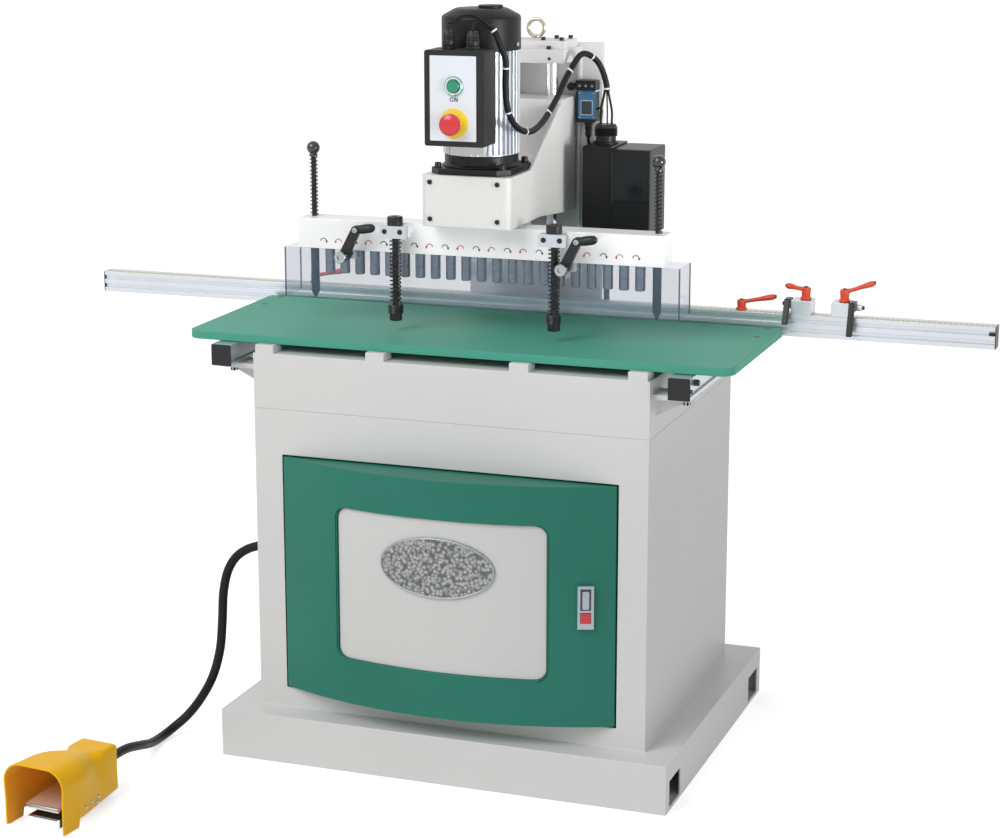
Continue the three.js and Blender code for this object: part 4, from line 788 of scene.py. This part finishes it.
piece("motor_body", [
    finned(67.5, 74, 40, 1197, 1400),
    lathe([(69, 1195), (69, 1198)], MOTOR, Z, 64),
], CAST, "head", angle=30, node="motor")
piece("motor_pads", [
    plate(-34, 34, 1200, 1238, 7, -186, -164),
    plate(-30, 30, 1250, 1385, 3, -189.6, -164),
], CASE, "head", 1.5, 3)
piece("fan_cover", [
    lathe([(72, 1392), (75, 1393), (75.6, 1396), (75.6, 1452), (75, 1455), (73, 1457.5),
           (52, 1468.8), (48, 1470.2), (20, 1470.5), (0.02, 1470.5)], MOTOR, Z, 72),
    lathe([(75.9, 1394), (76.2, 1396), (75.9, 1398)], MOTOR, Z, 72),
], COVER, "head")
piece("fan_cover_bump", [
    lathe([(24, 1470), (24, 1474), (22.5, 1476), (14, 1476.6)], (19, SPINDLE_Y, 0), Z, 40),
], COVER, "head")
COVER_RADIUS = 75.4
piece("cover_screws", [
    screw((*polar(COVER_RADIUS, a, MOTOR), 1404), (*polar(1, a), 0), 4.2, 2.4)
    for a in (-0.1, 1.6, 3.2)
], ZINC, "head")

piece("control_body", [plate(-59, 59, 1224, 1401.6, 4, -237, -190)], BOX, "head", 1.2, 3,
      node="control_box")
piece("control_lid", [plate(-59.4, 59.4, 1223.6, 1402, 5, -255, -238)], BOX, "head", 1.6, 3)
LID_FRONT = -254.9
piece("control_plate", [plate(-48, 43.6, 1234, 1392, 1.5, -255.5, LID_FRONT)], PLATE, "head")
piece("lid_screws", [
    screw((x, LID_FRONT, z), -Y, 3.2, 0.9)
    for x, z in ((-53.8, 1229.5), (-53.8, 1396.2), (52, 1229.5), (52, 1396.2), (52, 1312))
], OXIDE, "head")
ON_AT, STOP_AT = (0, 0, 1336), (0, 0, 1267)
piece("on_bezel", [
    lathe([(18.5, 255.2), (18.5, 257.6), (17, 259.2), (13.5, 259.4), (11.6, 258.2), (11.5, 255.4)],
          ON_AT, -Y, 48),
], BEZEL, "head")
piece("on_ring", [ring_shape(15.2, 1.4, (0, -259.2, 1336), Y, 48, 10)], CHROME, "head")
piece("on_cap", [
    lathe([(10.9, 249), (10.9, 260), (10, 261), (8.4, 261.2), (7.8, 260.7), (4, 260.6),
           (0.02, 260.6)], ON_AT, -Y, 40),
], GREEN, "on_push", node="on_button")
piece("stop_disc", [
    lathe([(28.4, 255.2), (28.4, 256.6), (27.6, 257), (16, 257), (15.4, 263.6), (12.6, 264)],
          STOP_AT, -Y, 56),
], DISC, "head")
piece("stop_cap", [
    lathe([(11.9, 247.5), (11.9, 272), (19.5, 272.2), (20.4, 273.2), (20.5, 277), (20.2, 282),
           (18.6, 286), (14, 288.8), (8, 289.9), (0.02, 290)], STOP_AT, -Y, 56),
], RED, "stop_push", node="stop_button")
LEFT_GLAND, RIGHT_GLAND = (-23, -222), (25.5, -222)
for place, name in ((LEFT_GLAND, "left"), (RIGHT_GLAND, "right")):
    piece(f"control_gland_{name}", [
        lathe([(13.6, 1401.8), (13.6, 1408), (11, 1409)], (*place, 0), Z, 6),
        lathe([(11, 1408.6), (12.1, 1410), (12.1, 1415), *ribbed(12, 11, 1417, 3, 4),
               (11, 1429), (9, 1434.6), (5, 1436)], (*place, 0), Z, 28),
    ], BLACK, "head", 0.3)
LETTER_FRONT, LETTER_BACK = -255.75, -255.3


def letters_on():
    """The two letters under the button, as flat outlines."""
    middle = (-4.6, 1311.5)
    loops = []
    for (a, b), (c, d) in zip(oval(middle, 3.7, 4.3, 28), oval(middle, 2.2, 2.9, 28)):
        loops.append([(a, LETTER_FRONT, b), (a, LETTER_BACK, b), (c, LETTER_BACK, d),
                      (c, LETTER_FRONT, d)])
    n = [(1, 1307.3), (2.5, 1307.3), (2.5, 1312.8), (5.9, 1307.3), (7.5, 1307.3), (7.5, 1315.7),
         (6, 1315.7), (6, 1310.2), (2.6, 1315.7), (1, 1315.7)]
    return [rings(loops, closed=True), prism(n, "xz", LETTER_FRONT, LETTER_BACK)]


piece("on_letters", letters_on(), INK, "head")

# Wiring harness from the control box over the head to the electrical box
HARNESS_ROUTE = [
    (-14, -221, 1451), (1, -219, 1461), (16, -217, 1463.5), (33, -215, 1459), (49, -213, 1448),
    (63, -210, 1436), (75, -207, 1407), (83, -203, 1381), (80, -196, 1334), (83, -190, 1288),
    (90, -170, 1258), (99, -120, 1240), (104, -60, 1248), (108, 20, 1286), (114, 84, 1334),
    (131, 120, 1368), (153, 148, 1350), (168, 160, 1303), (168, 160, 1267),
]
HARNESS_RADIUS = 6.5
harness_path = catmull(
    routed((*LEFT_GLAND, 1436.3), Z, HARNESS_ROUTE, (*BOX_GLAND, 1228.3), Z, HARNESS_RADIUS), 170)


def strands(path, offset, radius, count, turns):
    """Wires lying round a path, each a thin tube."""
    found = []
    for k in range(count):
        points = []
        for i, point in enumerate(path):
            along = way_at(path, i)
            side = along.cross(Vector((0.31, 0.11, 0.94))).normalized()
            other = along.cross(side)
            angle = TAU * (k / count + turns * i / len(path))
            points.append(point + side * offset * cos(angle)
                          + other * offset * sin(angle))
        found.append(sweep(points, radius, 10))
    return found


def crosses(name, shapes, material, node=None):
    """A piece that lies between two bodies across their joint, held by neither."""
    made = piece(name, shapes, material, None, node=node)
    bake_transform(made)


crosses("harness_wires", strands(harness_path[:58], 1.9, 1.8, 2, 0.6), RUBBER)
crosses("harness_sleeve", [sweep(harness_path[52:150], 6, 20)], RUBBER,
        node="wiring_harness")
gland_x, gland_y = BOX_GLAND
tails = [sweep(catmull([(gland_x, 160, 1316), (gland_x + dx / 3, 160, 1290),
                        (gland_x + dx, gland_y, 1252), (gland_x + dx, gland_y, 1226.5)], 24),
               radius, 12)
         for dx, radius in ((-11.5, 2.6), (11.5, 2.3), (2, 1.6))]
crosses("harness_tails", tails, RUBBER)
TIES = (54, 72, 86, 99, 112, 124, 136, 148)
TIE_RADIUS = 6.6
tie_profile = [(TIE_RADIUS - 0.9, -1.7), (TIE_RADIUS, -1.6), (TIE_RADIUS, 1.6),
               (TIE_RADIUS - 0.9, 1.7)]
tie_shapes = []
for i in TIES:
    along = way_at(harness_path, i)
    tie_shapes.append(lathe(tie_profile, harness_path[i], along, 24))
    out = along.cross(X if abs(along.x) < 0.7 else Z).normalized()
    knot = harness_path[i] - out * (TIE_RADIUS + 0.6)
    tie_shapes.append(lathe([(2.2, -1.8), (2.2, 1.8)], knot, along, 8))
crosses("harness_ties", tie_shapes, TIE)
second = catmull([(*RIGHT_GLAND, 1436.2), (26.5, -221, 1446), (34, -218, 1451), (48, -214, 1444),
                  (60, -210, 1434), (66, -208, 1424)], 40)
piece("second_lead", [sweep(second, 2.2, 12)], RUBBER, "head")

# Spindle bar, its marks and clamp screws
refined("spindle_bar", MACHINED, 0.9, least=7.0)
CHUCK_COUNT, PITCH = 21, 32
CHUCKS = [PITCH * (i - CHUCK_COUNT // 2) for i in range(CHUCK_COUNT)]
MARK_Z, MARK_FRONT, MARK_BACK, MARK_STEPS = 1011, -138.35, -137.9, 14


def turn_mark(x, way):
    """A half-round arrow over a chuck, pointing the way it turns."""
    section = ((7.2, MARK_FRONT), (7.2, MARK_BACK), (5.6, MARK_BACK), (5.6, MARK_FRONT))
    loops = []
    for i in range(MARK_STEPS + 1):
        angle = radians(8 + 164 * i / MARK_STEPS)
        loops.append([(x + r * cos(angle), y, MARK_Z + r * sin(angle))
                      for r, y in section])
    tip = x + way * 6.4
    head = [(tip - 2.6, 1012.6), (tip + 2.6, 1012.6), (tip, 1007.6)]
    if way > 0:
        head = [head[1], head[2], head[0]]
    return [rings(loops), prism(head, "xz", MARK_FRONT, MARK_BACK)]


for name, material, first in (("marks_black", INK, 0), ("marks_red", INK_RED, 1)):
    shapes = []
    for x in CHUCKS[first::2]:
        shapes += turn_mark(x, -1 if first else 1)
    piece(name, shapes, material, "head")

HOLD_DOWNS = ((-157, "left"), (167, "right"))
for x, name in HOLD_DOWNS:
    piece(f"clamp_block_{name}", [
        plate(x - 27.6, x + 27.6, 1030.9, 1055.3, 2, -178.7, -166),
    ], BLOCK, "head", 0.8)
    piece(f"clamp_screws_{name}", [screw((x + dx, -178, 1044), -Y, 5.2, 1.6) for dx in (-17, 15)],
          OXIDE, "head")

# Chucks, each with its set screw turned another way
chuck_profile = [
    (5.2, 945.1), (5.6, 944.5), (8.6, 944.5), (9.9, 946.1), (9.95, 965.5), (9.5, 966.1),
    (9.5, 967.5), (9.95, 968.1), (9.95, 996.2), (6, 996.25), (6, 1004)]
for i, x in enumerate(CHUCKS):
    number = f"{i + 1:02d}"
    turn = TAU * ((i * 7) % 12) / 12 - 1.2
    out = Vector((*polar(1, turn), 0))
    piece(f"chuck_body_{number}", [
        lathe(chuck_profile, (x, SPINDLE_Y, 0), Z, 28),
        screw(Vector((x, SPINDLE_Y, 957)) + out * 9.2, out, 2.7, 1.0, 0.6),
    ], CHUCK, f"chuck_{number}", node=f"chuck_{number}")

# Index pins and hold-downs, with their springs
COIL_STEPS, COIL_SIDES = 20, 10


def coil(radius, wire, curls, low, high):
    """A spring's wire between two ends on one upright line, with a straight run at each."""
    x, y, bottom = low
    top = high[2]
    mean = radius - wire
    run = 2 * wire
    climb = top - bottom - 2 * run
    count = curls * COIL_STEPS
    path = [Vector((x + mean, y, bottom))]
    for k in range(count + 1):
        round_axis = polar(mean, TAU * k / COIL_STEPS, (x, y))
        path.append(Vector((*round_axis, bottom + run + climb * k / count)))
    path.append(Vector((x + mean, y, top)))
    return sweep(path, wire, COIL_SIDES)


PIN_X = 353
KNOB_RADIUS, KNOB_Z = 13.2, 1191.2
ball = arc((0, KNOB_Z), KNOB_RADIUS, -50, 130, 13)
for side, name in SIDES:
    x = PIN_X * side
    foot = (x, SPINDLE_Y, 0)
    piece(f"index_rod_{name}", [
        lathe([(0.6, 891), (1.5, 891), (8.5, 905), (8.5, 1045.4), (5, 1045.5), (5, 1174.5)],
              foot, Z, 32),
    ], OXIDE, f"index_{name}", node=f"index_pin_{name}")
    piece(f"index_knob_{name}", [
        lathe([(5.2, 1174.3), (8.4, 1174.4), (8.4, 1177), (7.4, 1179.5), *ball, (0.02, 1204.4)],
              foot, Z, 40),
    ], GLOSS, f"index_{name}")
    low, high = (x, SPINDLE_Y, 1056.55), (x, SPINDLE_Y, 1173.95)
    crosses(f"index_coil_{name}", [coil(8.5, 1.1, 15, low, high)], OXIDE,
            f"index_spring_{name}")
HOLD_Y = -165
for x, name in HOLD_DOWNS:
    piece(f"hold_rod_{name}", [
        lathe([(10.5, 868), (12.4, 869.5), (12.4, 882), *ribbed(15.4, 14.7, 883.5, 2.6, 6),
               (14, 900), (6, 900.1), (6, 1055.4), (14.2, 1055.45), (15.4, 1056.5),
               (15.4, 1070.5), (13.6, 1072.8), (7, 1072.9), (6.4, 1071)], (x, HOLD_Y, 0), Z, 40),
    ], OXIDE, f"holddown_{name}", node=f"holddown_rod_{name}")
    low, high = (x, HOLD_Y, 900.3), (x, HOLD_Y, 1030.7)
    crosses(f"hold_coil_{name}", [coil(11.5, 1.5, 16, low, high)], OXIDE,
            f"holddown_spring_{name}")

# Clear guard and its cranked levers
refined("guard", GLASS, 0)
# Painted shade: thin dark blue strips on the guard's upright corners stand for how light bends through
# the sheet's edges.
piece("guard_corner_shade_strips", [
    box((x - 1.4, y - 1.4, 897.6), (x + 1.4, y + 1.4, 995.6))
    for x in (-404.7, 404.7) for y in (-135.7, -61.3)
], GUARD_CORNER_SHADE, "head", 0.4)
HUB_Z, ELBOW_Z = 990, 1043
GRIP_RADII = [7.4, 7.6, 7.9, 8.2, 8.5, 8.8, 9.0, 9.1, 9.2, 9.2, 9.2, 9.1, 9.0, 8.7, 8.1, 6.8, 4.2]
for x, name in ((-263, "left"), (188, "right")):
    hub, elbow_x = (x, 0, HUB_Z), x + 27
    piece(f"lever_arm_{name}", [
        prism(capsule((x, HUB_Z), (elbow_x, ELBOW_Z), 9.5, 8.6), "xz", -178.6, -164.4),
        lathe([(4, 163), (4, 118.2)], hub, -Y, 20),
        lathe([(9.5, 164.6), (9.5, 152), (6, 150)], hub, -Y, 28),
    ], BLACK, f"lever_{name}", 1.5, 3, node=f"guard_lever_{name}")
    grip = catmull([(elbow_x, -172, ELBOW_Z), (x + 38, -172.4, 1044.6), (x + 52, -172.8, 1047),
                    (x + 66, -172.8, 1049)], 16)
    piece(f"lever_grip_{name}", [sweep(grip, GRIP_RADII, 24)], BLACK, f"lever_{name}")
    piece(f"lever_hub_{name}", [
        lathe([(11.9, 178.8), (11.9, 191.6), (11, 192.8), (5.2, 192.9), (4.6, 189.5)],
              hub, -Y, 40),
        screw((elbow_x, -178.4, ELBOW_Z), -Y, 5.4, 3.2),
    ], STEEL, f"lever_{name}")
    piece(f"lever_lug_{name}", [
        plate(x - 10.2, x + 10.2, 978.3, 996.3, 2, -133.5, -119.6),
    ], BRUSHED, "head", 0.5)

# Fence with its scale, end caps and levers
refined("fence_beam", BRUSHED, 0.7, least=7.0)
piece("fence_scale", [box((-949, 114.2, 873.75), (955, 129.5, 874.02))], TAPE, "fence")
for x0, x1, name in ((-951.6, -950.1, "left"), (956.1, 957.6, "right")):
    piece(f"fence_cap_{name}", [plate(113, 149, 830.3, 873.8, 2, x0, x1, "yz")], BLACK, "fence", 0.5)
piece("cap_notch", [box((944, 112.6, 856), (956.2, 118, 862))], BLACK, "fence", 0.4)
FENCE_Y = 131
ARM_RADII = [5.6, 5.2, 4.7, 4.3, 4.1, 4.0, 4.0, 4.0, 4.1, 4.3, 4.7, 5.1, 5.5, 5.8, 5.9, 5.5, 3.8]
ARM_FLATNESS = 1.25


def ratchet(name, x, low, reach, rise, height, body, node):
    """A clamp lever: tapered hub, raised end and a slim arm that thickens at its tip."""
    way = 1 if reach > 0 else -1
    root = low + height - 4
    hub = lathe([(9.9, low + 0.2), (10.9, low + 0.9), (10.9, low + 3.6), (8.4, low + 5.6),
                 (9.4, low + height - 3), (8.8, low + height - 0.8), (6.4, low + height)],
                (x, FENCE_Y, 0), Z, 36)
    path = catmull([(x, FENCE_Y, root), (x + way * 14, FENCE_Y, root + rise * 0.18),
                    (x + reach * 0.6, FENCE_Y, root + rise * 0.62),
                    (x + reach - way * 4, FENCE_Y, root + rise)], 16)
    points, faces = sweep(path, ARM_RADII, 20)
    arm = ([(a, FENCE_Y + (b - FENCE_Y) * ARM_FLATNESS, c) for a, b, c in points], faces)
    piece(name, [hub, arm], ORANGE, body, node=node)
    piece(name + "_screw", [
        screw((x, FENCE_Y, low + height - 0.4), Z, 4.4, 2.2),
        lathe([(3.9, -5), (3.9, -3), (3, -2.2)], (x + reach, FENCE_Y, root + rise), (way, 0, 0),
              20),
    ], OXIDE, body)


for side, name in SIDES:
    ratchet(f"clamp_{name}", RAIL_X * side, 874.1, 72, 14, 20, f"fence_clamp_{name}",
            f"fence_lever_{name}")

# Stops
for name, hub, reach, rise in (("inner", 587, -43, 5), ("outer", 663, 62, 20)):
    refined(f"stop_block_{name}", BRUSHED)
    ratchet(f"stop_clamp_{name}", hub, 902.4, reach, rise, 24, f"{name}_clamp",
            f"stop_lever_{name}")
    refined(f"stop_finger_{name}", OXIDE, 2.0, 3)
PIVOT = (0, FENCE_Y, 892.1)
piece("inner_pivot", [lathe([(4.6, 548.6), (4.6, 545.2), (3.8, 541.2)], PIVOT, X, 24)], OXIDE,
      "inner_stop", 0.4)
piece("outer_pivot", [lathe([(6.8, 687.5), (6.8, 697.7), (5.6, 698.2)], PIVOT, X, 6)], CHROME,
      "outer_stop", 0.5)
piece("outer_bolt_end", [lathe([(4, 698), (4, 701.6), (3, 702.4)], PIVOT, X, 20)], OXIDE,
      "outer_stop")

# Foot pedal: the hood's stations as distance back, half width, height, corner radius, lower edge
STATIONS = (
    (0, 41, 105, 8, 16), (30, 41, 106, 8, 16), (44, 41, 106.5, 10, 16), (58, 41, 107, 24, 16),
    (74, 43, 109, 32, 16), (92, 51, 115, 38, 16), (110, 58.5, 119.5, 39, 16),
    (128, 63.5, 122, 38, 16), (142, 65.5, 123.2, 37, 16), (160, 66, 124, 36, 18),
    (164, 66, 124, 36, 2), (188, 66.8, 125.5, 37, 2), (212, 67.5, 127, 38, 2),
)
CORNER_STEPS = 10
FOOT_BACK, FOOT_FRONT, FOOT_OUT = 41, 66, 160
WALL_SHARE = 0.6
HOOD_WALL = 3.4


def hood_loop(station, inward):
    """The hood's outline at a station: its foot widens evenly, its shoulders past the waist."""
    back, half, height, corner, low = station
    foot = FOOT_BACK + (FOOT_FRONT - FOOT_BACK) * min(1, back / FOOT_OUT)
    across, up, radius = half - corner, height - corner, corner - inward
    right = [(foot - inward, low), (foot - inward, low + WALL_SHARE * (up - low)),
             *arc((across, up), radius, 0, 90, CORNER_STEPS)]
    left = [(-u, w) for u, w in reversed(right)]
    return [(u, -back, w) for u, w in right + [(0, height - inward)] + left]


hood_rows = [hood_loop(s, 0.0) + hood_loop(s, HOOD_WALL)[::-1] for s in STATIONS]
piece("pedal_hood", [
    rings(hood_rows),
    rings([[(x, y - d, z) for x, y, z in hood_loop(STATIONS[0], 0.4)] for d in (0.0, HOOD_WALL)]),
], YELLOW, STILL, 0.7, angle=50, node="pedal_housing", place=PEDAL)
# Painted light: a thin sheet just inside the hood's wall carries the brighter orange that stands for
# light coming through the wall.
lining = [[(x, y - 0.2, z) for x, y, z in hood_loop(s, 3.7)] for s in STATIONS[1:-1]]
lining.append([(x, y + 3, z) for x, y, z in hood_loop(STATIONS[-1], 3.7)])
inner_rows = [row + [(x * 0.985, y, z - 0.5) for x, y, z in row[::-1]] for row in lining]
piece("pedal_glow_sheet", [rings(inner_rows)], HOOD_GLOW_ORANGE, STILL, angle=50, place=PEDAL)
piece("pedal_base", [
    plate(-34, 34, -186, -104, 3, 0, 16.8, "xy"),
    box((-17, -105, 0.1), (17, -1.8, 16.6)),
    plate(-38.6, 38.6, -68, -8, 2, 16.3, 20.8, "xy"),
    box((-43, -68, 16.2), (-38, -56, 50)),
    box((38, -68, 16.2), (43, -56, 50)),
], OXIDE, STILL, 1.0, place=PEDAL)
piece("pedal_nose", [
    prism([(-186.9, 0.2), (-181, 0.2), (-181, 16.9), (-184, 17.6), (-186.9, 14.5)], "yz",
          -34.3, 34.3),
], CHROME, STILL, 0.8, place=PEDAL)
HOOD_PINS = ((58.2, -111, 31.5), (54.6, -88, 21.8), (54, -84, 32), (62.1, -136, 30))
piece("pedal_pins", [
    lathe([(4.4, x * s), (4.4, x * s + s * 1.2), (2.6, x * s + s * 2.2)], (0, y, z), X, 20)
    for s in (-1, 1) for x, y, z in HOOD_PINS
], STEEL, STILL, place=PEDAL)
piece("pedal_gland", [
    lathe([(16, 0.2), (16, 5), (13, 6), (13, 13), (11, 20), (9.6, 21)], (0, 0, GLAND_Z), Y, 8),
], BLACK, STILL, 0.4, place=PEDAL)
TREAD_HINGE = (0, -62, 44)
tread_outline = [(-188, 32), (-182, 32), (-182, 35.4), (-62, 44), (-62, 50), (-182, 41.4),
                 (-188, 40.4)]
piece("pedal_tread", [
    prism(tread_outline, "yz", -36.5, 36.5),
    lathe([(6, -36.5), (6, 36.5)], TREAD_HINGE, X, 24),
    lathe([(3, -40), (3, 40)], TREAD_HINGE, X, 20),
], TREAD, "treadle", 0.9, node="pedal_treadle", place=PEDAL)
piece("tread_lip", [
    lathe([(3.2, -36), (3.6, -35.4), (3.6, 35.4), (3.2, 36)], (0, -185.2, 37.4), X, 20),
], LATCH, "treadle", place=PEDAL)


# Floor, world and lamps
FLOOR_COLOUR, FLOOR_GLOW, FLOOR_REACH, FLOOR_Z = 0.80, 0.62, 30, -0.0005
WORLD_LIGHT = 0.50
WHITE = (1, 1, 1, 1)


def direct_rays(tree):
    """1 for what the camera sees straight, in a mirror or through glass, 0 for the rest."""
    path = node_of(tree, "LightPath")
    either = path.outputs["Is Camera Ray"]
    for other in ("Is Glossy Ray", "Is Transmission Ray"):
        either = node_of(tree, "Math", operation="MAXIMUM", in0=either,
                         in1=path.outputs[other]).outputs[0]
    return either


def make_floor():
    made = bpy.data.materials.new("floor")
    tree = made_tree(made)
    shader = tree.nodes["Principled BSDF"]
    fill(tree, shader, {"Base_Color": (*[FLOOR_COLOUR] * 3, 1), "Roughness": 0.9})
    share = node_of(tree, "Math", operation="MULTIPLY", in0=direct_rays(tree), in1=FLOOR_GLOW)
    glow = node_of(tree, "Emission", Color=WHITE, Strength=share.outputs[0])
    both = node_of(tree, "AddShader", in0=shader.outputs[0], in1=glow.outputs[0])
    fill(tree, tree.nodes["Material Output"], {"Surface": both.outputs[0]})
    mesh = bpy.data.meshes.new("floor")
    corners = [(FLOOR_REACH * x, FLOOR_REACH * y, FLOOR_Z)
               for x, y in ((-1, -1), (1, -1), (1, 1), (-1, 1))]
    mesh.from_pydata(corners, [], [(0, 1, 2, 3)])
    mesh.materials.append(made)
    placed("floor", mesh)


def make_world():
    world = bpy.data.worlds.new("studio")
    bpy.context.scene.world = world
    tree = made_tree(world)
    plain = tree.nodes["Background"]
    fill(tree, plain, {"Color": WHITE, "Strength": WORLD_LIGHT})
    white = node_of(tree, "Background", Color=WHITE, Strength=1.0)
    mix = node_of(tree, "MixShader", in0=direct_rays(tree), in1=plain.outputs[0],
                  in2=white.outputs[0])
    fill(tree, tree.nodes["World Output"], {"Surface": mix.outputs[0]})


def lamp(name, place, target, size, share, spread=180):
    """A square lamp that adds a share of full white to a surface facing it, within its spread."""
    data = bpy.data.lights.new(name, "AREA")
    data.shape = "SQUARE"
    data.size = size
    place, target = Vector(place), Vector(target)
    distance = (target - place).length
    data.spread = radians(spread)
    half = tan(data.spread / 2)
    gain = half / (half - data.spread / 2)
    data.energy = share * pi**2 * distance**2 / gain
    made = placed(name, data)
    made.location = place
    made.rotation_euler = (target - place).to_track_quat("-Z", "Y").to_euler()


make_floor()
make_world()
lamp("key", (-2.2, -4.3, 4.9), (0, 0, 0.7), 3.6, 0.50)
lamp("fill", (3.6, -3.4, 2.2), (0, 0, 0.7), 3.0, 0.015)
lamp("side", (1.9, -0.7, 1.25), (0.1, 0, 1.40), 0.7, 1.3, 40)
bpy.context.scene.view_settings.view_transform = "Standard"
